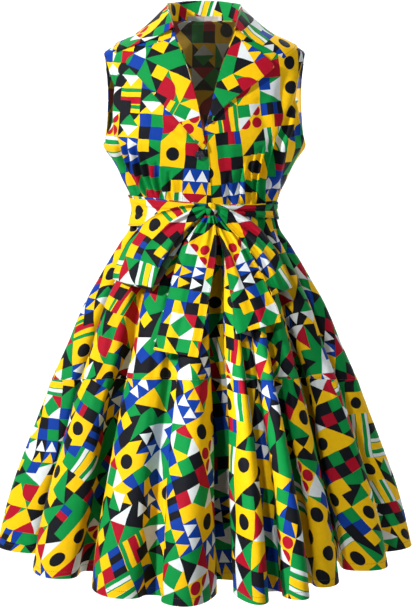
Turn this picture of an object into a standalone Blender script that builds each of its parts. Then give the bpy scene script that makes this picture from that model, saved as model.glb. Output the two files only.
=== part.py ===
"""Sleeveless shirt-style dress with a flared two-tier skirt and a tie sash, as if worn.

Metres, +Z up. The origin lies between the two high shoulder points. The front faces -Y.
Angles run round the body from the front centre, positive towards +X.
"""
import math

import bpy
import numpy as np

# Cloth
WALL = 0.0012
GAP = 0.0003
LAP_LIFT = 0.0018
NECK_Z = 0.0
SHOULDER_Z = -0.059
UNDERARM_Z = -0.241
WAIST_Z = -0.353
TIER_Z = -0.680
TIER_RISE = 0.036
HEM_Z = -0.993

# The dress form: half width, depth in front, depth behind, and how square the section is
# Columns: height, half width, front, back, power
FORM = np.array((
    (0.010, 0.0560, 0.045, 0.054, 1.00),
    (0.000, 0.0660, 0.050, 0.060, 1.00),
    (-0.010, 0.0890, 0.058, 0.070, 0.95),
    (-0.020, 0.1115, 0.066, 0.078, 0.92),
    (-0.030, 0.1340, 0.073, 0.084, 0.90),
    (-0.040, 0.1560, 0.079, 0.089, 0.88),
    (-0.050, 0.1750, 0.085, 0.093, 0.87),
    (-0.059, 0.1880, 0.090, 0.096, 0.86),
    (-0.075, 0.1910, 0.097, 0.100, 0.85),
    (-0.110, 0.1905, 0.110, 0.104, 0.85),
    (-0.150, 0.1900, 0.122, 0.106, 0.86),
    (-0.190, 0.1905, 0.129, 0.104, 0.87),
    (-0.215, 0.1910, 0.129, 0.102, 0.88),
    (-0.241, 0.1900, 0.124, 0.099, 0.90),
    (-0.264, 0.1740, 0.117, 0.096, 0.92),
    (-0.283, 0.1634, 0.112, 0.094, 0.95),
    (-0.302, 0.1550, 0.107, 0.092, 0.97),
    (-0.325, 0.1435, 0.102, 0.091, 1.00),
    (-0.353, 0.1340, 0.099, 0.091, 1.00),
    (-0.378, 0.1380, 0.104, 0.096, 1.00),
    (-0.397, 0.1440, 0.113, 0.105, 1.00),
    (-0.416, 0.1570, 0.127, 0.120, 1.00),
    (-0.454, 0.1810, 0.152, 0.147, 1.00),
    (-0.492, 0.2030, 0.176, 0.174, 1.00),
    (-0.530, 0.2250, 0.199, 0.198, 1.00),
    (-0.568, 0.2420, 0.218, 0.220, 1.00),
    (-0.606, 0.2570, 0.236, 0.240, 1.00),
    (-0.644, 0.2740, 0.254, 0.259, 1.00),
    (-0.682, 0.2910, 0.271, 0.277, 1.00),
    (-0.720, 0.3050, 0.287, 0.294, 1.00),
    (-0.796, 0.3340, 0.318, 0.326, 1.00),
    (-0.872, 0.3620, 0.347, 0.355, 1.00),
    (-0.930, 0.3790, 0.365, 0.372, 1.00),
    (-0.993, 0.3930, 0.380, 0.386, 1.00),
))

# Skirt folds: the crest's angle, the angle of the hollow after it, and how far each lies inside
# the form, as shares of a full hollow
# Columns: crest, hollow, hollow share, crest share
FLUTES = np.array((
    (-90.0, -74.0, 1.10, 0.00),
    (-53.0, -40.5, 1.05, 0.36),
    (-23.0, -14.5, 0.50, 0.18),
    (-5.0, 6.5, 1.22, 0.00),
    (13.5, 19.0, 0.60, 0.00),
    (25.0, 31.0, 0.75, 0.02),
    (37.5, 51.0, 1.30, 0.42),
    (63.0, 76.5, 0.95, 0.32),
    (90.0, 101.0, 0.90, 0.00),
    (112.0, 124.0, 1.00, 0.20),
    (135.0, 146.0, 0.90, 0.05),
    (157.0, 169.0, 1.10, 0.10),
    (181.0, 191.0, 0.80, 0.00),
    (202.0, 214.0, 1.00, 0.12),
    (226.0, 237.0, 0.95, 0.05),
    (248.0, 259.5, 0.90, 0.20),
))
FLUTE_STEPS = 4

# How deep a full hollow is at each height, and how far the crests bulge over the hollows
# Columns: height, depth, bulge
FOLDS = np.array((
    (-0.353, 0.003, 0.00),
    (-0.378, 0.004, 0.02),
    (-0.416, 0.010, 0.04),
    (-0.454, 0.018, 0.06),
    (-0.530, 0.032, 0.09),
    (-0.606, 0.044, 0.12),
    (-0.682, 0.055, 0.14),
    (-0.760, 0.066, 0.16),
    (-0.840, 0.077, 0.17),
    (-0.920, 0.085, 0.18),
    (-0.993, 0.092, 0.18),
))
UPPER_ROWS = (WAIST_Z, -0.385, -0.425, -0.490, -0.580, TIER_Z)
LOWER_ROWS = (TIER_Z, -0.755, -0.835, -0.915, HEM_Z)

# Front bodice edges: the centre edge is given by its x, the outer edge by its angle
# Columns: inner x, inner z, outer angle, outer z
FRONT_NECK = (
    (0.0085, -0.180, 78.0, -0.227),
    (0.0190, -0.135, 70.0, -0.203),
    (0.0300, -0.095, 66.0, -0.168),
    (0.0430, -0.058, 65.5, -0.130),
    (0.0555, -0.028, 69.0, -0.097),
    (0.0630, -0.010, 77.0, -0.073),
    (0.0660, NECK_Z, 90.0, SHOULDER_Z),
)
FRONT_RIGHT = (
    (0.0120, WAIST_Z, 90.0, WAIST_Z),
    (0.0118, -0.337, 90.0, -0.338),
    (0.0110, -0.306, 90.0, -0.312),
    (0.0085, -0.272, 90.0, -0.284),
    (0.0040, -0.240, 90.0, -0.260),
    (-0.0040, -0.213, 90.0, UNDERARM_Z),
)
FRONT_LEFT = (
    (-0.0120, WAIST_Z, 90.0, WAIST_Z),
    (-0.0120, -0.337, 90.0, -0.338),
    (-0.0120, -0.306, 90.0, -0.312),
    (-0.0110, -0.272, 90.0, -0.284),
    (-0.0070, -0.240, 90.0, -0.260),
    (-0.0010, -0.213, 90.0, UNDERARM_Z),
)
FRONT_STEPS = 20
GATHERS_A_SIDE = 4
GATHER_SPAN = (0.20, 0.80)
GATHER_DEPTH = 0.0024
GATHER_TOP_Z = -0.255

# Back bodice, one half: the back centre and then the neck, beside the side seam and armhole
# Columns: inner angle, inner z, outer angle, outer z
BACK_HALF = np.array((
    (180.0, WAIST_Z, 90.0, WAIST_Z),
    (180.0, -0.337, 90.0, -0.338),
    (180.0, -0.305, 90.0, -0.312),
    (180.0, -0.268, 90.0, -0.284),
    (180.0, -0.228, 90.0, -0.260),
    (180.0, -0.185, 90.0, UNDERARM_Z),
    (180.0, -0.135, 96.0, -0.227),
    (180.0, -0.085, 100.0, -0.203),
    (180.0, -0.035, 102.0, -0.168),
    (180.0, NECK_Z, 102.5, -0.130),
    (150.0, NECK_Z, 100.5, -0.097),
    (118.0, NECK_Z, 96.0, -0.073),
    (90.0, NECK_Z, 90.0, SHOULDER_Z),
))
BACK_STEPS = 11

# Collar, from the back centre to a front end: neck seam, fold line, then where the outer edge lies
# Columns: seam, fold, edge angle, edge z
COLLAR_RIGHT = (
    ((0.0000, 0.0580, 0.0015), (0.0000, 0.0660, 0.0440), 180.0, -0.030),
    ((0.0310, 0.0510, 0.0015), (0.0330, 0.0590, 0.0415), 150.0, -0.036),
    ((0.0530, 0.0300, 0.0015), (0.0570, 0.0360, 0.0355), 122.0, -0.041),
    ((0.0625, 0.0050, 0.0015), (0.0670, 0.0060, 0.0300), 97.0, -0.041),
    ((0.0615, -0.0170, 0.0000), (0.0660, -0.0220, 0.0180), 77.0, -0.045),
    ((0.0590, -0.0420, -0.0080), (0.0610, -0.0480, 0.0000), 67.0, -0.053),
    ((0.0535, -0.0625, -0.0245), (0.0560, -0.0690, -0.0200), 60.0, -0.066),
)
COLLAR_LEFT = (
    ((0.0000, 0.0580, 0.0015), (0.0000, 0.0660, 0.0440), 180.0, -0.030),
    ((0.0310, 0.0510, 0.0015), (0.0330, 0.0590, 0.0410), 150.0, -0.037),
    ((0.0530, 0.0300, 0.0015), (0.0570, 0.0360, 0.0340), 122.0, -0.043),
    ((0.0625, 0.0050, 0.0015), (0.0665, 0.0060, 0.0265), 97.0, -0.044),
    ((0.0615, -0.0170, 0.0000), (0.0655, -0.0220, 0.0140), 75.0, -0.050),
    ((0.0590, -0.0420, -0.0080), (0.0610, -0.0480, -0.0010), 60.0, -0.062),
    ((0.0535, -0.0625, -0.0245), (0.0560, -0.0690, -0.0200), 49.0, -0.077),
)
COLLAR_STEPS = 28
ROLL_RADIUS = 0.0032

# Lapels on the front bodice, from the break upwards: inner and outer edges as x and height
# Columns: inner x, inner z, outer x, outer z
LAPEL_RIGHT = (
    (0.0050, -0.246, -0.0040, -0.246),
    (-0.0010, -0.225, -0.0240, -0.222),
    (-0.0065, -0.195, -0.0445, -0.196),
    (-0.0130, -0.160, -0.0750, -0.163),
    (-0.0225, -0.125, -0.1120, -0.118),
    (-0.0335, -0.087, -0.1390, -0.083),
    (-0.0545, -0.037, -0.1020, -0.056),
)
LAPEL_LEFT = (
    (0.0040, -0.200, 0.0100, -0.197),
    (0.0085, -0.180, 0.0230, -0.181),
    (0.0150, -0.152, 0.0500, -0.155),
    (0.0225, -0.122, 0.0800, -0.133),
    (0.0320, -0.090, 0.1010, -0.116),
    (0.0410, -0.068, 0.1235, -0.091),
    (0.0555, -0.035, 0.0920, -0.060),
)
LAPEL_LIFT = {"left": 0.0006, "right": 0.0022}
LAPEL_ROLL = 0.0030
LAPEL_STEPS = 4

# Sash round the waist: its top and bottom at each angle, and the soft folds across its height
# Columns: angle, top, bottom
SASH = np.array((
    (-180.0, -0.334, -0.382),
    (-90.0, -0.330, -0.390),
    (-45.0, -0.334, -0.385),
    (-12.0, -0.342, -0.368),
    (10.0, -0.346, -0.366),
    (45.0, -0.346, -0.370),
    (90.0, -0.344, -0.377),
    (180.0, -0.334, -0.382),
))
SASH_FOLDS = (0.0042, 0.0056, 0.0046, 0.0058, 0.0044)
SASH_INNER = 0.0027
SASH_STEPS = 60

# Bow: rows of ribbons as x, height, distance in front of the skirt form, width and its slant
# Columns: x, z, out, width, slant
KNOT_CENTRE = (0.0118, -0.1131, -0.3545)
KNOT_RADII = (0.0107, 0.0088, 0.0118)
LOOP_RIGHT = (
    (0.0012, -0.3540, 0.014, 0.014, 90.0),
    (-0.0347, -0.3673, 0.021, 0.040, 118.0),
    (-0.0757, -0.3923, 0.028, 0.062, 128.0),
    (-0.1060, -0.4279, 0.032, 0.072, 146.0),
    (-0.1220, -0.4618, 0.032, 0.076, 160.0),
    (-0.1290, -0.4810, 0.028, 0.076, 166.0),
    (-0.1290, -0.4900, 0.018, 0.075, 168.0),
    (-0.1230, -0.4850, 0.009, 0.074, 166.0),
    (-0.1040, -0.4600, 0.006, 0.066, 156.0),
    (-0.0720, -0.4200, 0.006, 0.050, 140.0),
    (-0.0400, -0.3850, 0.006, 0.032, 124.0),
    (-0.0100, -0.3640, 0.007, 0.012, 112.0),
)
LOOP_LEFT = (
    (0.0226, -0.3540, 0.014, 0.014, 90.0),
    (0.0561, -0.3762, 0.022, 0.034, 54.0),
    (0.0882, -0.4048, 0.030, 0.044, 44.0),
    (0.1132, -0.4404, 0.033, 0.048, 30.0),
    (0.1292, -0.4760, 0.031, 0.048, 20.0),
    (0.1380, -0.4940, 0.026, 0.044, 16.0),
    (0.1390, -0.5010, 0.017, 0.042, 16.0),
    (0.1360, -0.4930, 0.009, 0.040, 18.0),
    (0.1180, -0.4582, 0.006, 0.038, 28.0),
    (0.0890, -0.4190, 0.006, 0.034, 42.0),
    (0.0597, -0.3880, 0.006, 0.026, 52.0),
    (0.0340, -0.3660, 0.007, 0.012, 62.0),
)
TAIL_RIGHT = (
    (0.0085, -0.3660, 0.016, 0.014, 178.0),
    (0.0000, -0.3950, 0.017, 0.042, 174.0),
    (-0.0090, -0.4250, 0.016, 0.062, 172.0),
    (-0.0200, -0.4680, 0.013, 0.069, 172.0),
    (-0.0298, -0.5135, 0.010, 0.073, 173.0),
    (-0.0400, -0.5580, 0.009, 0.076, 173.0),
    (-0.0500, -0.6010, 0.008, 0.078, 172.0),
)
TAIL_LEFT = (
    (0.0185, -0.3658, 0.012, 0.009, 10.0),
    (0.0420, -0.4000, 0.013, 0.032, 18.0),
    (0.0560, -0.4300, 0.013, 0.044, 17.0),
    (0.0690, -0.4680, 0.012, 0.058, 15.0),
    (0.0800, -0.5050, 0.011, 0.068, 13.0),
    (0.0900, -0.5350, 0.010, 0.080, 12.0),
    (0.0950, -0.5600, 0.010, 0.082, 12.0),
)
LOOP_STEPS = 22
TAIL_STEPS = 10
RIBBON_ACROSS = 4

# Button at the lapels' break
BUTTON_X = -0.0085
BUTTON_Z = -0.2560
BUTTON_SEGMENTS = 20
BUTTON_PROFILE = (
    (0.0000, 0.0000),
    (0.0078, 0.0000),
    (0.0086, 0.0009),
    (0.0086, 0.0020),
    (0.0078, 0.0028),
    (0.0062, 0.0024),
    (0.0050, 0.0017),
    (0.0000, 0.0017),
)

# Blank label on the inside of the collar's stand
LABEL_HALF_ANGLE = 33.0
LABEL_BOTTOM = 0.05
LABEL_TOP = 0.32
LABEL_WALL = 0.0010

# Colours
PRINT_YELLOW = (0.80, 0.56, 0.04, 1.0)
PRINT_GREEN = (0.02, 0.35, 0.10, 1.0)
PRINT_BLUE = (0.02, 0.06, 0.45, 1.0)
PRINT_RED = (0.50, 0.02, 0.04, 1.0)
BUTTON_NAVY = (0.02, 0.03, 0.06, 1.0)
LABEL_WHITE = (0.80, 0.80, 0.78, 1.0)
CLOTH_ROUGHNESS = 0.75
BUTTON_ROUGHNESS = 0.25


def smooth_column(table, column, height):
    """Value of a table's column at each height, by a smooth curve through its rows."""
    rows = table[np.argsort(table[:, 0])]
    knots = rows[:, 0]
    values = rows[:, column]
    slopes = np.gradient(values, knots)
    at = np.clip(height, knots[0], knots[-1])
    index = np.clip(np.searchsorted(knots, at) - 1, 0, len(knots) - 2)
    span = knots[index + 1] - knots[index]
    t = (at - knots[index]) / span
    start = values[index] * (2 * t**3 - 3 * t**2 + 1) + slopes[index] * span * (t**3 - 2 * t**2 + t)
    end = values[index + 1] * (3 * t**2 - 2 * t**3) + slopes[index + 1] * span * (t**3 - t**2)
    return start + end


def form(angle, height, out=0.0):
    """Points of the dress form at angles in degrees and heights, moved out by a distance."""
    angle, height, out = np.broadcast_arrays(angle, height, out)
    turn = np.radians(angle)
    half_width = smooth_column(FORM, 1, height) + out
    front = smooth_column(FORM, 2, height) + out
    back = smooth_column(FORM, 3, height) + out
    power = smooth_column(FORM, 4, height)
    cosine = np.cos(turn)
    depth = np.where(cosine > 0, front, back)
    y = -np.sign(cosine) * depth * np.abs(cosine) ** power
    y = np.where(np.abs(cosine) < 1e-9, 0.0, y)
    return np.stack((half_width * np.sin(turn), y, height), axis=-1)


def angle_at(x, height):
    """Angle on the front of the form, in degrees, of a point with this x."""
    return np.degrees(np.arcsin(np.clip(x / smooth_column(FORM, 1, height), -1.0, 1.0)))


def smoothstep(low, high, value):
    """Smooth rise from 0 at low to 1 at high."""
    t = np.clip((value - low) / (high - low), 0.0, 1.0)
    return t * t * (3 - 2 * t)


def resample(rows, count):
    """A smooth curve through rows of numbers, at evenly spaced row positions."""
    rows = np.array(rows, float)
    at = np.linspace(0.0, len(rows) - 1.0, count + 1)
    keyed = np.column_stack((np.arange(len(rows)), rows))
    return np.stack([smooth_column(keyed, c, at) for c in range(1, keyed.shape[1])], axis=-1)


def grid_faces(columns, rows, ring=False):
    """Quads of a grid whose points are stored column by column."""
    faces = []
    for i in range(columns if ring else columns - 1):
        for j in range(rows - 1):
            a = i * rows + j
            b = (i + 1) % columns * rows + j
            faces.append((a, b, b + 1, a + 1))
    return faces


def weld(points, faces):
    """Points and faces with the points that coincide made one."""
    index = {}
    kept = []
    for point in points:
        key = tuple(np.round(point, 7))
        if key not in index:
            index[key] = len(kept)
            kept.append(point)
    number = [index[tuple(np.round(point, 7))] for point in points]
    return np.array(kept), [tuple(number[i] for i in face) for face in faces]


def normals(points, faces):
    """Unit normals of a skin's points, from the faces round each."""
    quads = np.array(faces)
    found = np.zeros_like(points)
    facing = np.cross(points[quads[:, 2]] - points[quads[:, 0]], points[quads[:, 3]] - points[quads[:, 1]])
    for corner in range(4):
        np.add.at(found, quads[:, corner], facing)
    return found / np.linalg.norm(found, axis=-1, keepdims=True)


def push_out(points, clear):
    """Move points out level until they clear the form by a distance."""
    x, y, z = points[..., 0], points[..., 1], points[..., 2]
    half_width = smooth_column(FORM, 1, z)
    depth = np.where(y < 0, smooth_column(FORM, 2, z), smooth_column(FORM, 3, z))
    power = smooth_column(FORM, 4, z)
    radius = np.hypot(x, y)
    step = 0.001
    slope = (smooth_column(FORM, 1, z + step) - smooth_column(FORM, 1, z - step)) / (2 * step)
    margin = clear * np.sqrt(1 + slope**2) / np.maximum(radius, 0.01)
    size = ((np.abs(x) / half_width) ** 2 + (np.abs(y) / depth) ** (2 / power)) ** 0.5
    inside = (size < 1 + margin) & (z < NECK_Z + 0.002)
    scale = np.where(inside, (1 + margin) / np.maximum(size, 0.2), 1.0)
    return np.stack((x * scale, y * scale, z), axis=-1)


def add_mesh(name, points, faces, finish):
    """Make an object from points and faces with its own material."""
    colour, roughness = finish
    mesh = bpy.data.meshes.new(name)
    mesh.from_pydata([tuple(map(float, p)) for p in points], [], faces)
    mesh.update()
    for polygon in mesh.polygons:
        polygon.use_smooth = True
    part = bpy.data.objects.new(name, mesh)
    bpy.context.scene.collection.objects.link(part)
    material = bpy.data.materials.new(name)
    material.use_nodes = True
    shader = material.node_tree.nodes["Principled BSDF"]
    shader.inputs["Base Color"].default_value = colour
    shader.inputs["Roughness"].default_value = roughness
    shader.inputs["Metallic"].default_value = 0.0
    mesh.materials.append(material)
    return part


def wall_between(name, outer, inner, faces, finish):
    """Closed wall between two skins that share their faces' layout, the outer one first."""
    count = len(outer)
    sides = {(face[k], face[(k + 1) % 4]) for face in faces for k in range(4)}
    rim = [(b, a, a + count, b + count) for a, b in sorted(sides) if (b, a) not in sides]
    under = [tuple(i + count for i in reversed(face)) for face in faces]
    return add_mesh(name, np.concatenate((outer, inner)), faces + under + rim, finish)


def shell(name, points, faces, finish, thickness=WALL):
    """Closed wall of one thickness, inwards from its outer skin.

    Points on the seams in the plane y = 0 don't lean over them.
    """
    points, faces = weld(points, faces)
    out = normals(points, faces)
    out[np.abs(points[:, 1]) < 0.6 * GAP, 1] = 0.0
    out /= np.linalg.norm(out, axis=-1, keepdims=True)
    return wall_between(name, points, points - out * thickness, faces, finish)


def wall(name, grid, finish, thickness=WALL):
    """Closed wall from one grid of outer points."""
    faces = grid_faces(*grid.shape[:2])
    return shell(name, grid.reshape(-1, 3), faces, finish, thickness)


def ruled(inner, outer, steps):
    """Grid of (angle, height) pairs on straight lines from an inner to an outer edge."""
    share = np.linspace(0.0, 1.0, steps + 1)[:, None, None]
    return (1 - share) * inner[None] + share * outer[None]


def front_lift(side, angle, height):
    """How far the front lies off the form: the lap of the right front, then nothing."""
    if side > 0:
        return np.zeros_like(angle)
    return LAP_LIFT * smoothstep(-24.0, -10.0, angle) * np.ones_like(height)


def front_grid(side, lower_rows):
    """Outer points of one front; side is 1 towards +X and -1 towards -X."""
    neck = np.array(FRONT_NECK) * (side, 1.0, 1.0, 1.0)
    table = np.concatenate((np.array(lower_rows), neck))
    inner = np.column_stack((angle_at(table[:, 0], table[:, 1]), table[:, 1]))
    outer = np.column_stack((side * table[:, 2], table[:, 3]))
    inner[-1, 0] = side * 90.0
    grid = ruled(inner, outer, FRONT_STEPS)
    angle, height = grid[..., 0], grid[..., 1]
    u = np.linspace(0.0, 1.0, FRONT_STEPS + 1)[:, None]
    start, end = GATHER_SPAN
    phase = np.clip((u - start) / (end - start), 0.0, 1.0) * GATHERS_A_SIDE
    gather = GATHER_DEPTH * (1 - np.cos(2 * math.pi * phase)) / 2
    gather = gather * smoothstep(GATHER_TOP_Z, WAIST_Z, height)
    points = form(angle, height, front_lift(side, angle, height) - gather)
    points[..., 1] -= GAP / 2
    points[:, 0, 2] += GAP / 2
    return points if side > 0 else points[::-1]


def back_shell():
    """The back, from two mirrored halves that meet at its centre."""
    grid = ruled(BACK_HALF[:, :2], BACK_HALF[:, 2:], BACK_STEPS)[::-1]
    half = form(grid[..., 0], grid[..., 1])
    half[..., 0][np.abs(half[..., 0]) < 1e-6] = 0.0
    half[..., 1] += GAP / 2
    half[:, 0, 2] += GAP / 2
    other = (half * (-1.0, 1.0, 1.0))[::-1]
    faces = grid_faces(*half.shape[:2])
    count = half.shape[0] * half.shape[1]
    faces += [tuple(i + count for i in face) for face in faces]
    points = np.concatenate((half.reshape(-1, 3), other.reshape(-1, 3)))
    return shell("bodice_back", points, faces, (PRINT_YELLOW, CLOTH_ROUGHNESS))


def flute_columns(first, last):
    """Angle, swing towards the hollow and drop of each skirt column over a run of folds."""
    crests = np.append(FLUTES[:, 0], FLUTES[0, 0] + 360.0)
    found = []
    for index in range(first, last):
        crest, hollow, depth, high = FLUTES[index]
        after, next_high = crests[index + 1], FLUTES[(index + 1) % len(FLUTES), 3]
        for step in range(FLUTE_STEPS):
            t = step / FLUTE_STEPS
            rise = math.sin(math.pi * t)
            found.append((crest + (hollow - crest) * t, (hollow - crest) * rise,
                          high + (depth - high) * (1 - math.cos(math.pi * t)) / 2))
        for step in range(FLUTE_STEPS):
            t = step / FLUTE_STEPS
            rise = math.sin(math.pi * t)
            found.append((hollow + (after - hollow) * t, (hollow - after) * rise,
                          next_high + (depth - next_high) * (1 + math.cos(math.pi * t)) / 2))
    found.append((crests[last], 0.0, 0.0))
    return np.array(found)


def tier_height(angle):
    """Height of the seam between the tiers, which rises towards the front centre."""
    return TIER_Z + TIER_RISE * np.maximum(np.cos(np.radians(angle)), 0.0)


def skirt_grid(columns, heights, top_gap, side):
    """Outer points of a skirt panel, from the top down; side is -1 in front and 1 behind.

    The heights are those at a side seam, and elsewhere they close up or spread with the tier seam.
    """
    level = np.array(heights)[None, :]
    far = WAIST_Z if heights[-1] == TIER_Z else HEM_Z
    share = (level - far) / (TIER_Z - far)
    height = far + (tier_height(columns[:, :1]) - far) * share
    depth = smooth_column(FOLDS, 1, height)
    bulge = smooth_column(FOLDS, 2, height)
    angle = columns[:, :1] + bulge * columns[:, 1:2]
    points = form(angle, height, -depth * columns[:, 2:3])
    points[..., 1] += side * GAP / 2
    points[:, 0, 2] -= top_gap
    return points[:, ::-1]


def collar_profile(seam, fold, edge_angle, edge_z):
    """Points across the collar: up the stand, over the fold and down the fall."""
    seam, fold = np.array(seam), np.array(fold)
    edge = form(edge_angle, edge_z, 0.0)
    outward = np.array((fold[0], fold[1], 0.0))
    outward /= np.linalg.norm(outward)
    turn = fold + outward * ROLL_RADIUS
    crown = turn + (0.0, 0.0, ROLL_RADIUS)
    far = turn + outward * ROLL_RADIUS
    rows = [seam, seam + (fold - seam) * 0.55, fold, crown, far]
    for share in (0.4, 0.72, 1.0):
        sag = 0.006 * math.sin(math.pi * share)
        point = far + (edge - far) * share
        rows.append(point - (0.0, 0.0, sag))
    return np.array(rows)


def collar_grid():
    """Outer points of the collar, from the front end at -X round the back to +X."""
    ends = []
    for table, side in ((COLLAR_RIGHT, -1.0), (COLLAR_LEFT, 1.0)):
        flat = [(*seam, *fold, angle, z) for seam, fold, angle, z in table]
        rows = resample(flat, COLLAR_STEPS // 2)
        profiles = []
        for row in rows:
            profile = collar_profile(row[0:3], row[3:6], row[6], row[7])
            profile[4:] = push_out(profile[4:], WALL + 5 * GAP)
            profiles.append(profile * (side, 1.0, 1.0))
        ends.append(np.array(profiles))
    return np.concatenate((ends[0][::-1], ends[1][1:]))


def lapel_grid(rows, side):
    """Outer points of a lapel, from the break upwards, made from the front's own form."""
    table = resample(rows, 9)
    share = np.linspace(0.0, 1.0, LAPEL_STEPS + 1)[None, :]
    x = table[:, :1] + (table[:, 2:3] - table[:, :1]) * share
    z = table[:, 1:2] + (table[:, 3:4] - table[:, 1:2]) * share
    angle = angle_at(x, z)
    roll = 2 * LAPEL_ROLL * (1 - share) * share
    lift = LAPEL_LIFT["left" if side > 0 else "right"] + front_lift(side, angle, z) + roll
    points = form(angle, z, lift)
    points[..., 1] -= GAP / 2
    return points if side > 0 else points[::-1]


def sash_wall():
    """Closed ring of the sash round the waist."""
    angle = np.linspace(-180.0, 180.0, SASH_STEPS, endpoint=False)[:, None]
    share = np.linspace(0.0, 1.0, len(SASH_FOLDS))[None, :]
    top = np.interp(angle, SASH[:, 0], SASH[:, 1])
    bottom = np.interp(angle, SASH[:, 0], SASH[:, 2])
    height = bottom + (top - bottom) * share
    outer = form(angle, height, np.array(SASH_FOLDS)[None, :]).reshape(-1, 3)
    inner = form(angle, height, SASH_INNER).reshape(-1, 3)
    faces = grid_faces(SASH_STEPS, len(SASH_FOLDS), ring=True)
    return wall_between("sash", outer, inner, faces, (PRINT_GREEN, CLOTH_ROUGHNESS))


def ribbon_grid(rows, steps):
    """Outer points of a ribbon that lies in front of the skirt form."""
    table = resample(rows, steps)
    share = np.linspace(-0.5, 0.5, RIBBON_ACROSS + 1)[None, :]
    slant = np.radians(table[:, 4:5])
    x = table[:, 0:1] + table[:, 3:4] * np.cos(slant) * share
    z = table[:, 1:2] + table[:, 3:4] * np.sin(slant) * share
    out = table[:, 2:3] + 0.0 * share
    return form(angle_at(x, z), z, 0.0) - np.stack((0 * out, out, 0 * out), axis=-1)


def face_front(grid):
    """The grid, turned if its first rows face backwards."""
    first = np.cross(grid[1, 0] - grid[0, 0], grid[0, 1] - grid[0, 0])
    return grid if first[1] < 0 else grid[:, ::-1]


def knot_mesh():
    """The knot, a soft block pinched where the loops go in."""
    around, up = 14, 8
    points = [(KNOT_CENTRE[0], KNOT_CENTRE[1], KNOT_CENTRE[2] - KNOT_RADII[2])]
    for j in range(1, up):
        rise = math.pi * j / up
        for i in range(around):
            turn = 2 * math.pi * i / around
            ripple = 1.0 + 0.05 * math.cos(5 * turn)
            points.append((
                KNOT_CENTRE[0] + KNOT_RADII[0] * ripple * math.cos(turn) * math.sin(rise) ** 0.7,
                KNOT_CENTRE[1] + KNOT_RADII[1] * ripple * math.sin(turn) * math.sin(rise) ** 0.7,
                KNOT_CENTRE[2] - KNOT_RADII[2] * math.cos(rise),
            ))
    points.append((KNOT_CENTRE[0], KNOT_CENTRE[1], KNOT_CENTRE[2] + KNOT_RADII[2]))
    faces = []
    last = len(points) - 1
    for i in range(around):
        k = (i + 1) % around
        faces.append((0, 1 + k, 1 + i))
        for j in range(up - 2):
            a, b = 1 + j * around + i, 1 + j * around + k
            faces.append((a, b, b + around, a + around))
        top = 1 + (up - 2) * around
        faces.append((top + i, top + k, last))
    return add_mesh("bow_knot", points, faces, (PRINT_GREEN, CLOTH_ROUGHNESS))


def button_mesh():
    """The button, turned from its profile, facing the front."""
    angle = angle_at(BUTTON_X, BUTTON_Z)
    seat = form(angle, BUTTON_Z, LAP_LIFT + 4 * GAP)
    ahead = form(angle, BUTTON_Z, LAP_LIFT + 0.01)
    side = form(angle + 1.0, BUTTON_Z, LAP_LIFT)
    upper = form(angle_at(BUTTON_X, BUTTON_Z + 0.01), BUTTON_Z + 0.01, LAP_LIFT)
    across = side - form(angle, BUTTON_Z, LAP_LIFT)
    up = upper - form(angle, BUTTON_Z, LAP_LIFT)
    axis = np.cross(across, up)
    axis /= np.linalg.norm(axis)
    if np.dot(axis, ahead - seat) < 0:
        axis = -axis
    across /= np.linalg.norm(across)
    up = np.cross(axis, across)
    seat = seat + (0.0, -GAP / 2, 0.0)
    points = [seat + axis * BUTTON_PROFILE[0][1]]
    for radius, height in BUTTON_PROFILE[1:-1]:
        for i in range(BUTTON_SEGMENTS):
            turn = 2 * math.pi * i / BUTTON_SEGMENTS
            spoke = across * math.cos(turn) + up * math.sin(turn)
            points.append(seat + axis * height + spoke * radius)
    points.append(seat + axis * BUTTON_PROFILE[-1][1])
    faces = []
    last = len(points) - 1
    rings = len(BUTTON_PROFILE) - 2
    for i in range(BUTTON_SEGMENTS):
        k = (i + 1) % BUTTON_SEGMENTS
        faces.append((0, 1 + k, 1 + i))
        for j in range(rings - 1):
            a, b = 1 + j * BUTTON_SEGMENTS + i, 1 + j * BUTTON_SEGMENTS + k
            faces.append((a, b, b + BUTTON_SEGMENTS, a + BUTTON_SEGMENTS))
        top = 1 + (rings - 1) * BUTTON_SEGMENTS
        faces.append((top + i, top + k, last))
    return add_mesh("button", points, faces, (BUTTON_NAVY, BUTTON_ROUGHNESS))


def label_wall():
    """Blank label on the inner face of the stand, at the back of the neck."""
    flat = [(place, *seam, *fold) for place, (seam, fold, _, _) in enumerate(COLLAR_RIGHT[:3])]
    keyed = np.array(flat)
    rows = []
    for turn in np.linspace(-LABEL_HALF_ANGLE, LABEL_HALF_ANGLE, 9):
        place = np.array(abs(turn) / 30.0)
        row = np.array([smooth_column(keyed, column, place) for column in range(1, 7)])
        seam, fold = row[0:3], row[3:6]
        inward = -np.array((fold[0], fold[1], 0.0)) / np.hypot(fold[0], fold[1])
        side = 1.0 if turn < 0.0 else -1.0
        for share in (LABEL_BOTTOM, LABEL_TOP):
            point = seam + (fold - seam) * share + inward * (LABEL_WALL - GAP / 2)
            rows.append(point * (side, 1.0, 1.0))
    grid = np.array(rows).reshape(9, 2, 3)
    return wall("label", grid, (LABEL_WHITE, CLOTH_ROUGHNESS), thickness=LABEL_WALL)


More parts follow.
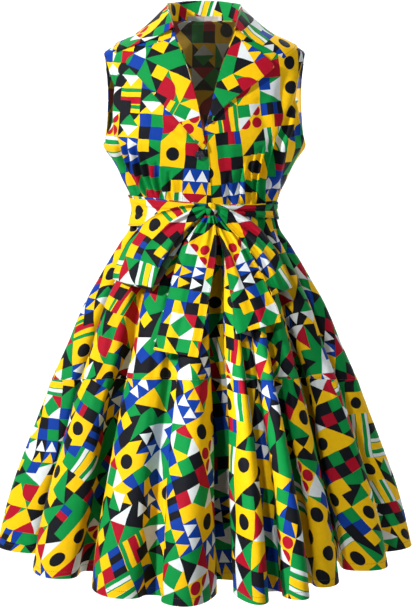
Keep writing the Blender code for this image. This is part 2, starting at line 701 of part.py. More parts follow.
def build():
    """Build every piece of the dress."""
    yellow = (PRINT_YELLOW, CLOTH_ROUGHNESS)
    blue = (PRINT_BLUE, CLOTH_ROUGHNESS)
    red = (PRINT_RED, CLOTH_ROUGHNESS)
    green = (PRINT_GREEN, CLOTH_ROUGHNESS)
    wall("bodice_front_left", front_grid(1, FRONT_LEFT), yellow)
    wall("bodice_front_right", front_grid(-1, FRONT_RIGHT), yellow)
    back_shell()
    wall("collar", collar_grid(), red)
    wall("lapel_left", lapel_grid(LAPEL_LEFT, 1), blue)
    wall("lapel_right", lapel_grid(LAPEL_RIGHT, -1), blue)
    for where, first, last, side in (("front", 0, 8, -1), ("back", 8, 16, 1)):
        columns = flute_columns(first, last)
        upper = skirt_grid(columns, UPPER_ROWS, GAP / 2, side)
        lower = skirt_grid(columns, LOWER_ROWS, 1.5 * GAP, side)
        wall(f"skirt_upper_{where}", upper, green)
        wall(f"skirt_lower_{where}", lower, yellow)
    sash_wall()
    for name, rows, steps in (
        ("bow_loop_right", LOOP_RIGHT, LOOP_STEPS),
        ("bow_loop_left", LOOP_LEFT, LOOP_STEPS),
        ("bow_tail_right", TAIL_RIGHT, TAIL_STEPS),
        ("bow_tail_left", TAIL_LEFT, TAIL_STEPS),
    ):
        wall(name, face_front(ribbon_grid(rows, steps)), green)
    knot_mesh()
    button_mesh()
    label_wall()


for old in list(bpy.data.objects):
    bpy.data.objects.remove(old, do_unlink=True)
build()
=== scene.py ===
"""Looks of a sleeveless shirt-style dress in wax-print cotton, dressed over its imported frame.

Metres, +Z up, and the front faces -Y. Angles run round the body from the front centre in degrees,
positive towards +X. Each cloth piece keeps its flat cut beside its shape, so that the print lies on
it as it would on the cut cloth.
"""
import logging
import math
from collections.abc import Sequence
from dataclasses import dataclass
from enum import Enum

import bpy
import numpy as np
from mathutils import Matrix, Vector


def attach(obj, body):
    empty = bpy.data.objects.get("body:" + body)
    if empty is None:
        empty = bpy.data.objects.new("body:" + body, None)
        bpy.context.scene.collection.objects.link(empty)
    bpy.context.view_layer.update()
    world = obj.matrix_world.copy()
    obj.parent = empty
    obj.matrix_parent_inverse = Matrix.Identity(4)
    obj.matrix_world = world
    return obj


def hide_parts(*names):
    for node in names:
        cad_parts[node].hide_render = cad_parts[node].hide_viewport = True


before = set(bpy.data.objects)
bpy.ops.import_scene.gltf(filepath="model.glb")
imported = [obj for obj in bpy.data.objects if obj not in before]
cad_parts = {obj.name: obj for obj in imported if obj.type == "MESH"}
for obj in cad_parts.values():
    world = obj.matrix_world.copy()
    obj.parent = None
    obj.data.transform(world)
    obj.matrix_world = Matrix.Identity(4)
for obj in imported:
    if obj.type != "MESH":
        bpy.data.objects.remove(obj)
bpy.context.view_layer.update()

# A table's rows, and a line on the cloth with its points and their normals
Rows = tuple[tuple[float, ...], ...]
Line = tuple[np.ndarray, np.ndarray]
Socket = bpy.types.NodeSocket

LOG = logging.getLogger("dress")
BODY = "root"
# The cloth's thickness, the gap at a seam, and how far the right front stands off over the left
WALL = 0.0012
GAP = 0.0003
LAP_LIFT = 0.0018
# Heights of the dress, and how far the seam between the tiers rises in front
NECK_Z = 0.0
SHOULDER_Z = -0.059
UNDERARM_Z = -0.241
WAIST_Z = -0.353
TIER_Z = -0.680
TIER_RISE = 0.036
HEM_Z = -0.993
# Above this angle an edge is shaded sharp
SHARP = math.radians(55.0)
# How far in from an edge the stitches run; at the lapels' and the bow's edges the dark stitches sit close in,
# partly real stitching and partly a painted shade line along the edge
ARMHOLE_INSET = 0.006
EDGE_SHADE_STITCH_INSET = 0.002


def smoothstep(low: float, high: float, value: np.ndarray) -> np.ndarray:
    """Smooth rise between two values.

    Args:
        low: Where the rise starts.
        high: Where the rise ends.
        value: The values to read it at.

    Returns:
        0 at low, 1 at high, and a smooth curve between.
    """
    t = np.clip((value - low) / (high - low), 0.0, 1.0)
    return t * t * (3 - 2 * t)


def run_along(points: np.ndarray, axis: int = 0) -> np.ndarray:
    """Length along one axis of a grid of points.

    Args:
        points: The grid, or one line of points.
        axis: The axis to measure along.

    Returns:
        The length from the axis's first point to each point.
    """
    steps = np.linalg.norm(np.diff(points, axis=axis), axis=-1)
    return np.concatenate((np.zeros_like(steps.take([0], axis)), steps.cumsum(axis)), axis)


def joined(*parts: np.ndarray) -> np.ndarray:
    """Coordinates from their parts, each of them a number or a grid."""
    return np.stack(np.broadcast_arrays(*parts), axis=-1)


def new_object(name: str, vertices: list | np.ndarray, faces: list) -> bpy.types.Object:
    """A smoothly shaded object in the scene.

    Args:
        name: The object's name.
        vertices: Its points.
        faces: The points' numbers round each face.

    Returns:
        The object.
    """
    mesh = bpy.data.meshes.new(name)
    mesh.from_pydata(np.array(vertices).tolist(), [], faces)
    mesh.polygons.foreach_set("use_smooth", np.ones(len(faces), bool))
    made = bpy.data.objects.new(name, mesh)
    bpy.context.scene.collection.objects.link(made)
    return made


@dataclass(frozen=True)
class Table:
    """Rows of numbers that are read by a smooth curve through each column."""

    rows: Rows

    def at(self, column: int, key: np.ndarray) -> np.ndarray:
        """Read a column by the first column's value.

        Args:
            column: The column's number.
            key: Values of the first column.

        Returns:
            The column's values there.
        """
        rows = np.array(self.rows, float)
        rows = rows[np.argsort(rows[:, 0])]
        knots, values = rows[:, 0], rows[:, column]
        slopes = np.gradient(values, knots)
        key = np.clip(key, knots[0], knots[-1])
        index = np.clip(np.searchsorted(knots, key) - 1, 0, len(knots) - 2)
        span = knots[index + 1] - knots[index]
        t = (key - knots[index]) / span
        start = values[index] * (2 * t**3 - 3 * t**2 + 1) + slopes[index] * span * (t**3 - 2 * t**2 + t)
        end = values[index + 1] * (3 * t**2 - 2 * t**3) + slopes[index + 1] * span * (t**3 - t**2)
        return start + end

    def spread(self, count: int) -> np.ndarray:
        """Rows at evenly spaced places along the table.

        Args:
            count: How many steps to make.

        Returns:
            count + 1 rows.
        """
        keyed = Table(tuple((float(i), *row) for i, row in enumerate(self.rows)))
        at = np.linspace(0.0, len(self.rows) - 1.0, count + 1)
        return np.stack([keyed.at(c + 1, at) for c in range(len(self.rows[0]))], axis=-1)


@dataclass(frozen=True)
class DressForm:
    """The general figure that the cloth hangs round: half width, front, back and squareness."""

    sections: Table = Table((
        (0.010, 0.0560, 0.045, 0.054, 1.00),
        (0.000, 0.0660, 0.050, 0.060, 1.00),
        (-0.010, 0.0890, 0.058, 0.070, 0.95),
        (-0.020, 0.1115, 0.066, 0.078, 0.92),
        (-0.030, 0.1340, 0.073, 0.084, 0.90),
        (-0.040, 0.1560, 0.079, 0.089, 0.88),
        (-0.050, 0.1750, 0.085, 0.093, 0.87),
        (-0.059, 0.1880, 0.090, 0.096, 0.86),
        (-0.075, 0.1910, 0.097, 0.100, 0.85),
        (-0.110, 0.1905, 0.110, 0.104, 0.85),
        (-0.150, 0.1900, 0.122, 0.106, 0.86),
        (-0.190, 0.1905, 0.129, 0.104, 0.87),
        (-0.215, 0.1910, 0.129, 0.102, 0.88),
        (-0.241, 0.1900, 0.124, 0.099, 0.90),
        (-0.264, 0.1740, 0.117, 0.096, 0.92),
        (-0.283, 0.1634, 0.112, 0.094, 0.95),
        (-0.302, 0.1550, 0.107, 0.092, 0.97),
        (-0.325, 0.1435, 0.102, 0.091, 1.00),
        (-0.353, 0.1340, 0.099, 0.091, 1.00),
        (-0.378, 0.1380, 0.104, 0.096, 1.00),
        (-0.397, 0.1440, 0.113, 0.105, 1.00),
        (-0.416, 0.1570, 0.127, 0.120, 1.00),
        (-0.454, 0.1810, 0.152, 0.147, 1.00),
        (-0.492, 0.2030, 0.176, 0.174, 1.00),
        (-0.530, 0.2250, 0.199, 0.198, 1.00),
        (-0.568, 0.2420, 0.218, 0.220, 1.00),
        (-0.606, 0.2570, 0.236, 0.240, 1.00),
        (-0.644, 0.2740, 0.254, 0.259, 1.00),
        (-0.682, 0.2910, 0.271, 0.277, 1.00),
        (-0.720, 0.3050, 0.287, 0.294, 1.00),
        (-0.796, 0.3340, 0.318, 0.326, 1.00),
        (-0.872, 0.3620, 0.347, 0.355, 1.00),
        (-0.930, 0.3790, 0.365, 0.372, 1.00),
        (-0.993, 0.3930, 0.380, 0.386, 1.00),
    ))

    def point(self, angle: np.ndarray, height: np.ndarray, out: np.ndarray = 0.0) -> np.ndarray:
        """Points of the form.

        Args:
            angle: Angles in degrees.
            height: Heights.
            out: How far to move each point out.

        Returns:
            The points, with x, y and z last.
        """
        angle, height, out = np.broadcast_arrays(angle, height, out)
        turn = np.radians(angle)
        cosine = np.cos(turn)
        depth = np.where(cosine > 0, self.sections.at(2, height), self.sections.at(3, height)) + out
        y = -np.sign(cosine) * depth * np.abs(cosine) ** self.sections.at(4, height)
        y = np.where(np.abs(cosine) < 1e-9, 0.0, y)
        return joined((self.sections.at(1, height) + out) * np.sin(turn), y, height)

    def angle_at(self, x: np.ndarray, height: np.ndarray) -> np.ndarray:
        """Angle on the front of the form, in degrees, of points with this x."""
        return np.degrees(np.arcsin(np.clip(x / self.sections.at(1, height), -1.0, 1.0)))

    def girth(self, angle: np.ndarray, height: np.ndarray, start: float = 0.0) -> np.ndarray:
        """Length round the form, level, from one angle to others.

        Args:
            angle: Angles in degrees.
            height: Heights.
            start: The angle to measure from.

        Returns:
            The lengths, negative where the angle is less than the start.
        """
        shares = np.linspace(0.0, 1.0, 25)
        ring = np.stack([self.point(start + (angle - start) * s, height) for s in shares])
        length = np.linalg.norm(np.diff(ring, axis=0), axis=-1).sum(axis=0)
        return length * np.sign(angle - start)

    def clear(self, points: np.ndarray, distance: float) -> np.ndarray:
        """Move points out level until they clear the form.

        Args:
            points: The points.
            distance: How far off the form they have to be.

        Returns:
            The moved points.
        """
        x, y, z = points[..., 0], points[..., 1], points[..., 2]
        half_width, power = self.sections.at(1, z), self.sections.at(4, z)
        depth = np.where(y < 0, self.sections.at(2, z), self.sections.at(3, z))
        slope = (self.sections.at(1, z + 0.001) - self.sections.at(1, z - 0.001)) / 0.002
        margin = distance * np.sqrt(1 + slope**2) / np.maximum(np.hypot(x, y), 0.01)
        size = ((np.abs(x) / half_width) ** 2 + (np.abs(y) / depth) ** (2 / power)) ** 0.5
        inside = (size < 1 + margin) & (z < NECK_Z + 0.002)
        scale = np.where(inside, (1 + margin) / np.maximum(size, 0.2), 1.0)
        return joined(x * scale, y * scale, z)


FORM = DressForm()


class Tone(Enum):
    """Dyes of the print, in linear light."""

    INK = (0.004, 0.005, 0.009)
    YELLOW = (0.920, 0.545, 0.001)
    RED = (0.400, 0.002, 0.018)
    GREEN = (0.000, 0.260, 0.050)
    BLUE = (0.001, 0.040, 0.310)
    WHITE = (0.720, 0.770, 0.780)


class Shape(Enum):
    """Plain shapes that a tile of the print is made of."""

    DISC = "disc"
    CHECK = "check"
    DIAGONAL = "diagonal"
    DIAMOND = "diamond"
    HALF_DIAMOND = "half diamond"
    BARS = "bars"
    FINE_BARS = "fine bars"
    BAND = "band"
    HOURGLASS = "hourglass"
    NORTH = "north"
    QUARTER = "quarter"
    TRIANGLES = "triangles"
    LOW_TRIANGLES = "low triangles"
    CORNER = "corner"
    OPPOSITE = "opposite corner"
    SIDE = "side"
    PEAK = "peak"
    SOME_DOTS = "some dots"


@dataclass(frozen=True)
class Motif:
    """A tile of the print: a ground and the shapes laid on it, the last on top."""

    ground: Tone
    layers: tuple[tuple[Shape, Tone], ...]


DISC_TILE = Motif(Tone.YELLOW, ((Shape.DISC, Tone.INK),))
MOTIFS = (
    DISC_TILE,
    DISC_TILE,
    Motif(Tone.BLUE, ((Shape.TRIANGLES, Tone.WHITE), (Shape.LOW_TRIANGLES, Tone.YELLOW))),
    Motif(Tone.INK, ((Shape.SIDE, Tone.BLUE), (Shape.TRIANGLES, Tone.WHITE),
                     (Shape.LOW_TRIANGLES, Tone.YELLOW))),
    Motif(Tone.WHITE, ((Shape.FINE_BARS, Tone.GREEN), (Shape.BAND, Tone.YELLOW))),
    Motif(Tone.GREEN, ((Shape.FINE_BARS, Tone.YELLOW), (Shape.BAND, Tone.RED), (Shape.OPPOSITE, Tone.INK))),
    Motif(Tone.GREEN, ((Shape.DIAGONAL, Tone.YELLOW), (Shape.QUARTER, Tone.RED))),
    Motif(Tone.INK, ((Shape.CHECK, Tone.GREEN), (Shape.CORNER, Tone.RED))),
    Motif(Tone.BLUE, ((Shape.CHECK, Tone.RED), (Shape.CORNER, Tone.INK), (Shape.OPPOSITE, Tone.GREEN))),
    Motif(Tone.INK, ((Shape.SIDE, Tone.RED), (Shape.HOURGLASS, Tone.YELLOW), (Shape.NORTH, Tone.WHITE))),
    Motif(Tone.RED, ((Shape.SIDE, Tone.INK), (Shape.HOURGLASS, Tone.GREEN), (Shape.NORTH, Tone.WHITE))),
    Motif(Tone.BLUE, ((Shape.BARS, Tone.INK), (Shape.SIDE, Tone.YELLOW), (Shape.CORNER, Tone.RED))),
    Motif(Tone.WHITE, ((Shape.CORNER, Tone.RED), (Shape.OPPOSITE, Tone.YELLOW), (Shape.DIAMOND, Tone.GREEN))),
    Motif(Tone.INK, ((Shape.DIAGONAL, Tone.YELLOW), (Shape.DIAMOND, Tone.GREEN),
                     (Shape.HALF_DIAMOND, Tone.WHITE))),
    DISC_TILE,
    Motif(Tone.GREEN, ((Shape.PEAK, Tone.INK), (Shape.OPPOSITE, Tone.YELLOW))),
    Motif(Tone.GREEN, ((Shape.PEAK, Tone.WHITE), (Shape.CORNER, Tone.BLUE))),
    Motif(Tone.WHITE, ((Shape.DIAGONAL, Tone.YELLOW), (Shape.SOME_DOTS, Tone.RED),
                       (Shape.OPPOSITE, Tone.GREEN))),
    Motif(Tone.RED, ((Shape.BARS, Tone.BLUE), (Shape.SIDE, Tone.GREEN), (Shape.OPPOSITE, Tone.INK))),
    Motif(Tone.INK, ((Shape.DIAGONAL, Tone.GREEN), (Shape.OPPOSITE, Tone.YELLOW))),
    Motif(Tone.YELLOW, ((Shape.DIAGONAL, Tone.INK), (Shape.CORNER, Tone.GREEN))),
    Motif(Tone.YELLOW, ((Shape.PEAK, Tone.BLUE), (Shape.CORNER, Tone.INK), (Shape.OPPOSITE, Tone.GREEN))),
)


@dataclass
class Tree:
    """Short hands for a node tree."""

    tree: bpy.types.NodeTree

    def add(self, kind: str, inputs: dict | None = None, **settings: object) -> bpy.types.Node:
        """Add a node.

        Args:
            kind: The node's type.
            inputs: A socket or a value for each input to set, by its name or number.
            settings: The node's properties.

        Returns:
            The node.
        """
        node = self.tree.nodes.new(kind)
        for name, value in settings.items():
            setattr(node, name, value)
        self.feed(node, inputs or {})
        return node

    def feed(self, node: bpy.types.Node, inputs: dict) -> None:
        """Link a node's inputs to sockets, or set their values.

        Args:
            node: The node.
            inputs: A socket or a value for each input, by its name or number.
        """
        for name, value in inputs.items():
            if isinstance(value, Socket):
                self.tree.links.new(value, node.inputs[name])
            else:
                node.inputs[name].default_value = value

    def math(self, operation: str, *values: object) -> Socket:
        """Result of a Math node on sockets or numbers."""
        return self.add("ShaderNodeMath", dict(enumerate(values)), operation=operation).outputs[0]

    def vector(self, operation: str, *values: object) -> Socket:
        """Result of a Vector Math node on sockets or triples."""
        node = self.add("ShaderNodeVectorMath", dict(enumerate(values)), operation=operation)
        return node.outputs["Value" if operation == "LENGTH" else "Vector"]

    def scaled(self, vector: Socket, factor: float) -> Socket:
        """A vector made longer by a factor."""
        node = self.add("ShaderNodeVectorMath", {0: vector, "Scale": factor}, operation="SCALE")
        return node.outputs["Vector"]

    def split(self, vector: Socket) -> list[Socket]:
        """The three numbers of a vector."""
        return list(self.add("ShaderNodeSeparateXYZ", {0: vector}).outputs)

    def pair(self, x: object, y: object) -> Socket:
        """A vector from two numbers."""
        return self.add("ShaderNodeCombineXYZ", {0: x, 1: y}).outputs[0]

    def chance(self, vector: Socket) -> list[Socket]:
        """Three steady numbers from 0 to 1 that belong to a place."""
        node = self.add("ShaderNodeTexWhiteNoise", {"Vector": vector}, noise_dimensions="3D")
        return self.split(node.outputs["Color"])


def new_material(name: str) -> tuple[bpy.types.Material, Tree, bpy.types.Node]:
    """A material that uses nodes.

    Args:
        name: The material's name.

    Returns:
        The material, its tree and its shader.
    """
    made = bpy.data.materials.new(name)
    made.use_nodes = True
    return made, Tree(made.node_tree), made.node_tree.nodes["Principled BSDF"]


@dataclass
class TilePrint:
    """The patchwork of tiles, as a node group from cut coordinates to a dye colour.

    Attributes:
        tile: A tile's side, in metres.
        wander: How far its edges stray, as a share of the tile.
        wander_scale: How quickly they do so.
        seed: Which of all the chance layouts it is.
        disc: The disc's radius, and like the values below it a share of the tile.
        diamond: Half the diamond's height.
        quarter: The quarter disc's radius.
        band: Half the band's width.
        triangle: The small triangles' height, as a share of their half tile.
        dot: The dots' radius, as a share of their half tile.
        group: The node group, once it is made.
    """

    tile: float = 0.046
    wander: float = 0.09
    wander_scale: float = 1.3
    seed: float = 4.2
    disc: float = 0.27
    diamond: float = 0.44
    quarter: float = 0.74
    band: float = 0.14
    triangle: float = 0.92
    dot: float = 0.43
    group: bpy.types.NodeTree | None = None

    def shapes(self, t: Tree, x: object, y: object) -> dict[Shape, object]:
        """Masks of every shape on a tile that runs from -0.5 to 0.5.

        Args:
            t: The tree to add to.
            x: Place across the tile.
            y: Place up the tile.

        Returns:
            A 0 or 1 socket for each shape.
        """
        m = t.math
        ax, ay = m("ABSOLUTE", x), m("ABSOLUTE", y)
        radius = m("SQRT", m("ADD", m("MULTIPLY", x, x), m("MULTIPLY", y, y)))
        far = m("SQRT", m("ADD", *(m("POWER", m("ADD", value, 0.5), 2.0) for value in (x, y))))
        right, upper, lower = m("GREATER_THAN", x, 0.0), m("GREATER_THAN", y, 0.0), m("LESS_THAN", y, 0.0)
        sub_x, sub_y = (m("FRACT", m("MULTIPLY", value, 2.0)) for value in (x, y))
        lean = m("MULTIPLY", m("ABSOLUTE", m("SUBTRACT", sub_x, 0.5)), 2.0)
        slanted = m("GREATER_THAN", m("ADD", x, y), 0.0)
        diamond = m("LESS_THAN", m("ADD", ax, ay), self.diamond)
        triangles = m("LESS_THAN", lean, m("SUBTRACT", self.triangle, sub_y))
        spots = t.vector("LENGTH", t.vector("SUBTRACT", t.pair(sub_x, sub_y), (0.5, 0.5, 0.0)))
        return {
            Shape.DISC: m("LESS_THAN", radius, self.disc),
            Shape.CHECK: m("GREATER_THAN", m("MULTIPLY", x, y), 0.0),
            Shape.DIAGONAL: slanted,
            Shape.DIAMOND: diamond,
            Shape.HALF_DIAMOND: m("MULTIPLY", diamond, right),
            Shape.BARS: m("GREATER_THAN", sub_y, 0.5),
            Shape.FINE_BARS: m("GREATER_THAN", m("FRACT", m("MULTIPLY", y, 3.0)), 0.45),
            Shape.BAND: m("LESS_THAN", ay, self.band),
            Shape.HOURGLASS: m("LESS_THAN", ax, ay),
            Shape.NORTH: m("LESS_THAN", ax, y),
            Shape.QUARTER: m("LESS_THAN", far, self.quarter),
            Shape.TRIANGLES: triangles,
            Shape.LOW_TRIANGLES: m("MULTIPLY", triangles, lower),
            Shape.CORNER: m("MULTIPLY", right, upper),
            Shape.OPPOSITE: m("MULTIPLY", m("SUBTRACT", 1.0, right), lower),
            Shape.SIDE: right,
            Shape.PEAK: m("LESS_THAN", m("MULTIPLY", ax, 2.0), m("SUBTRACT", 0.5, y)),
            Shape.SOME_DOTS: m("MULTIPLY", m("LESS_THAN", spots, self.dot), slanted),
        }

    def dye(self, t: Tree, masks: dict[Shape, object], number: object) -> object:
        """Colour of the tile whose motif has this number.

        Args:
            t: The tree to add to.
            masks: The shapes' masks.
            number: Which motif.

        Returns:
            A colour socket.
        """
        tones = list(Tone)
        total = None
        for place, motif in enumerate(MOTIFS):
            code = float(tones.index(motif.ground))
            for shape, tone in motif.layers:
                step = t.math("SUBTRACT", float(tones.index(tone)), code)
                code = t.math("MULTIPLY_ADD", step, masks[shape], code)
            here = t.math("COMPARE", number, float(place), 0.5)
            if total is None:
                total = t.math("MULTIPLY", code, here)
            else:
                total = t.math("MULTIPLY_ADD", code, here, total)
        ramp = t.add("ShaderNodeValToRGB")
        ramp.color_ramp.interpolation = "CONSTANT"
        stops = ramp.color_ramp.elements
        for place, tone in enumerate(tones):
            stop = stops[0] if place == 0 else stops.new(place / len(tones))
            stop.position = place / len(tones)
            stop.color = (*tone.value, 1.0)
        stops.remove(stops[-1])
        t.feed(ramp, {0: t.math("DIVIDE", t.math("ADD", total, 0.5), float(len(tones)))})
        return ramp.outputs[0]

    def tree(self) -> bpy.types.NodeTree:
        """The group, made once.

        Returns:
            The group.
        """
        if self.group is not None:
            return self.group
        group = bpy.data.node_groups.new("patchwork_tiles", "ShaderNodeTree")
        group.interface.new_socket("Cut", in_out="INPUT", socket_type="NodeSocketVector")
        group.interface.new_socket("Dye", in_out="OUTPUT", socket_type="NodeSocketColor")
        t = Tree(group)
        place = t.scaled(t.add("NodeGroupInput").outputs[0], 1 / self.tile)
        noise = t.add("ShaderNodeTexNoise", {"Vector": place, "Scale": self.wander_scale, "Detail": 1.0})
        drift = t.vector("SUBTRACT", noise.outputs["Color"], (0.5, 0.5, 0.5))
        place = t.vector("ADD", place, t.scaled(drift, self.wander))
        cell = t.vector("MULTIPLY", t.vector("FLOOR", place), (1.0, 1.0, 0.0))
        kind, turn, _ = t.chance(t.vector("ADD", cell, (0.5, 0.5, self.seed)))
        local = t.vector("SUBTRACT", t.vector("FRACTION", place), (0.5, 0.5, 0.0))
        angle = t.math("MULTIPLY", t.math("FLOOR", t.math("MULTIPLY", turn, 4.0)), math.pi / 2)
        spin = t.add("ShaderNodeVectorRotate", rotation_type="Z_AXIS")
        t.feed(spin, {"Vector": local, "Angle": angle})
        x, y, _ = t.split(spin.outputs[0])
        number = t.math("FLOOR", t.math("MULTIPLY", kind, float(len(MOTIFS))))
        t.add("NodeGroupOutput", {0: self.dye(t, self.shapes(t, x, y), number)})
        self.group = group
        return group


TILES = TilePrint()


@dataclass(frozen=True)
class WaxCotton:
    """Printed cotton as it is laid on one piece.

    Attributes:
        slot: The print's name; not used.
        turn: How far the print is turned on the cut, in degrees.
        shift: Where the print starts, in metres.
        mottle: Scale of the dye's unevenness.
        wash: The darkest and the lightest that it makes the dye.
        fade: How much of the back's colour is bare cotton.
        weave: Scale of the threads.
        crumple: Scale of the small crumples.
    """

    slot: str
    turn: float = 0.0
    shift: tuple[float, float] = (0.0, 0.0)
    roughness: float = 0.68
    sheen: float = 0.01
    specular: float = 0.14
    mottle: float = 140.0
    wash: tuple[float, float] = (0.90, 1.08)
    fade: float = 0.22
    bare: tuple[float, float, float] = (0.42, 0.43, 0.40)
    weave: float = 700.0
    crumple: float = 28.0

    def material(self, name: str, reverse: bool = False) -> bpy.types.Material:
        """The cotton's face, or its paler back.

        Args:
            name: The material's name.
            reverse: True for the back of the cloth.

        Returns:
            The material.
        """
        made, t, shader = new_material(name)
        cut = t.add("ShaderNodeUVMap", uv_map="cut").outputs[0]
        laid = t.add("ShaderNodeMapping", {
            "Vector": cut, "Rotation": (0.0, 0.0, math.radians(self.turn)), "Location": (*self.shift, 0.0)})
        tiles = t.add("ShaderNodeGroup", {0: laid.outputs[0]}, node_tree=TILES.tree())
        mottle = t.add("ShaderNodeTexNoise", {"Vector": cut, "Scale": self.mottle, "Detail": 4.0})
        wash = t.add("ShaderNodeMapRange", {
            "Value": mottle.outputs["Fac"], "To Min": self.wash[0], "To Max": self.wash[1]})
        colour = t.add("ShaderNodeMix", data_type="RGBA", blend_type="MULTIPLY", inputs={
            "Factor": 1.0, 6: tiles.outputs[0], 7: wash.outputs[0]}).outputs[2]
        if reverse:
            colour = t.add("ShaderNodeMix", data_type="RGBA", inputs={
                "Factor": self.fade, 6: colour, 7: (*self.bare, 1.0)}).outputs[2]
        t.feed(shader, {
            "Base Color": colour, "Normal": self.relief(t, cut), "Roughness": self.roughness,
            "Sheen Weight": self.sheen, "Sheen Roughness": 0.4, "Specular IOR Level": self.specular})
        return made

    def relief(self, t: Tree, cut: Socket) -> Socket:
        """Normal of the weave and of the cloth's small crumples.

        Args:
            t: The tree to add to.
            cut: The cut coordinates.

        Returns:
            A normal socket.
        """
        threads = [t.add("ShaderNodeTexWave", {"Vector": cut, "Scale": self.weave}, wave_type="BANDS",
                         bands_direction=direction).outputs["Fac"] for direction in ("X", "Y")]
        crumple = t.add("ShaderNodeTexNoise", {"Vector": cut, "Scale": self.crumple, "Detail": 3.0})
        soft = t.add("ShaderNodeBump", {
            "Strength": 0.35, "Distance": 0.004, "Height": crumple.outputs["Fac"]})
        weave = t.add("ShaderNodeBump", {
            "Strength": 0.25, "Distance": 0.0002, "Height": t.math("ADD", *threads),
            "Normal": soft.outputs[0]})
        return weave.outputs[0]


@dataclass(frozen=True)
class PlainFinish:
    """A plain finish with a fine grain: thread, button resin or a woven label."""

    name: str
    colour: tuple[float, float, float]
    roughness: float
    grain: float = 900.0
    depth: float = 0.0001
    coat: float = 0.0
    spread: float = 0.18

    def material(self) -> bpy.types.Material:
        """Make the material.

        Returns:
            The material.
        """
        made, t, shader = new_material(self.name)
        place = t.add("ShaderNodeTexCoord").outputs["Object"]
        noise = t.add("ShaderNodeTexNoise", {"Vector": place, "Scale": self.grain}).outputs["Fac"]
        ramp = t.add("ShaderNodeValToRGB", {0: noise})
        for stop, share in zip(ramp.color_ramp.elements, (1 - self.spread, 1 + self.spread)):
            stop.color = (*(min(1.0, c * share) for c in self.colour), 1.0)
        bump = t.add("ShaderNodeBump", {"Strength": 0.3, "Distance": self.depth, "Height": noise})
        t.feed(shader, {
            "Base Color": ramp.outputs[0], "Normal": bump.outputs[0],
            "Roughness": self.roughness, "Coat Weight": self.coat})
        return made


@dataclass(frozen=True)
class Crease:
    """A soft trough, or a ridge where its depth is negative, from one place to another.

    Places are in the piece's own flat coordinates, in metres.

    Attributes:
        start: Where it starts.
        end: Where it ends.
        width: Half its width.
        depth: How deep it is.
        lip: The height of the ridge beside it, as a share of its depth.
        lip_off: How far the ridge lies beside it, in half widths.
        bow: How far it bows sideways, as a share of its length.
    """

    start: tuple[float, float]
    end: tuple[float, float]
    width: float
    depth: float
    lip: float = 0.5
    lip_off: float = 1.7
    bow: float = 0.06

    def dent(self, places: np.ndarray) -> np.ndarray:
        """How far the crease moves each place inwards.

        Args:
            places: Places, with their two numbers last.

        Returns:
            The distances.
        """
        start, end = np.array(self.start), np.array(self.end)
        along = end - start
        length = float(np.linalg.norm(along))
        along = along / length
        across = np.array((-along[1], along[0]))
        share = (places - start) @ along / length
        bend = self.bow * length * np.sin(math.pi * np.clip(share, 0, 1))
        off = ((places - start) @ across + bend) / self.width
        window = np.sin(math.pi * np.clip(share, 0.0, 1.0)) ** 0.6
        return self.depth * window * (np.exp(-off**2) - self.lip * np.exp(-((off - self.lip_off) ** 2)))


def creases(*rows: tuple[float, ...]) -> tuple[Crease, ...]:
    """Creases from rows of numbers.

    Args:
        rows: The start, the end, the width and the depth of each crease.

    Returns:
        A crease for each row.
    """
    return tuple(Crease(row[:2], row[2:4], *row[4:]) for row in rows)


class Side(Enum):
    """An edge of a grid of cloth: which axis it ends, and at which end."""

    FIRST_COLUMN = (0, False)
    LAST_COLUMN = (0, True)
    BOTTOM = (1, False)
    TOP = (1, True)


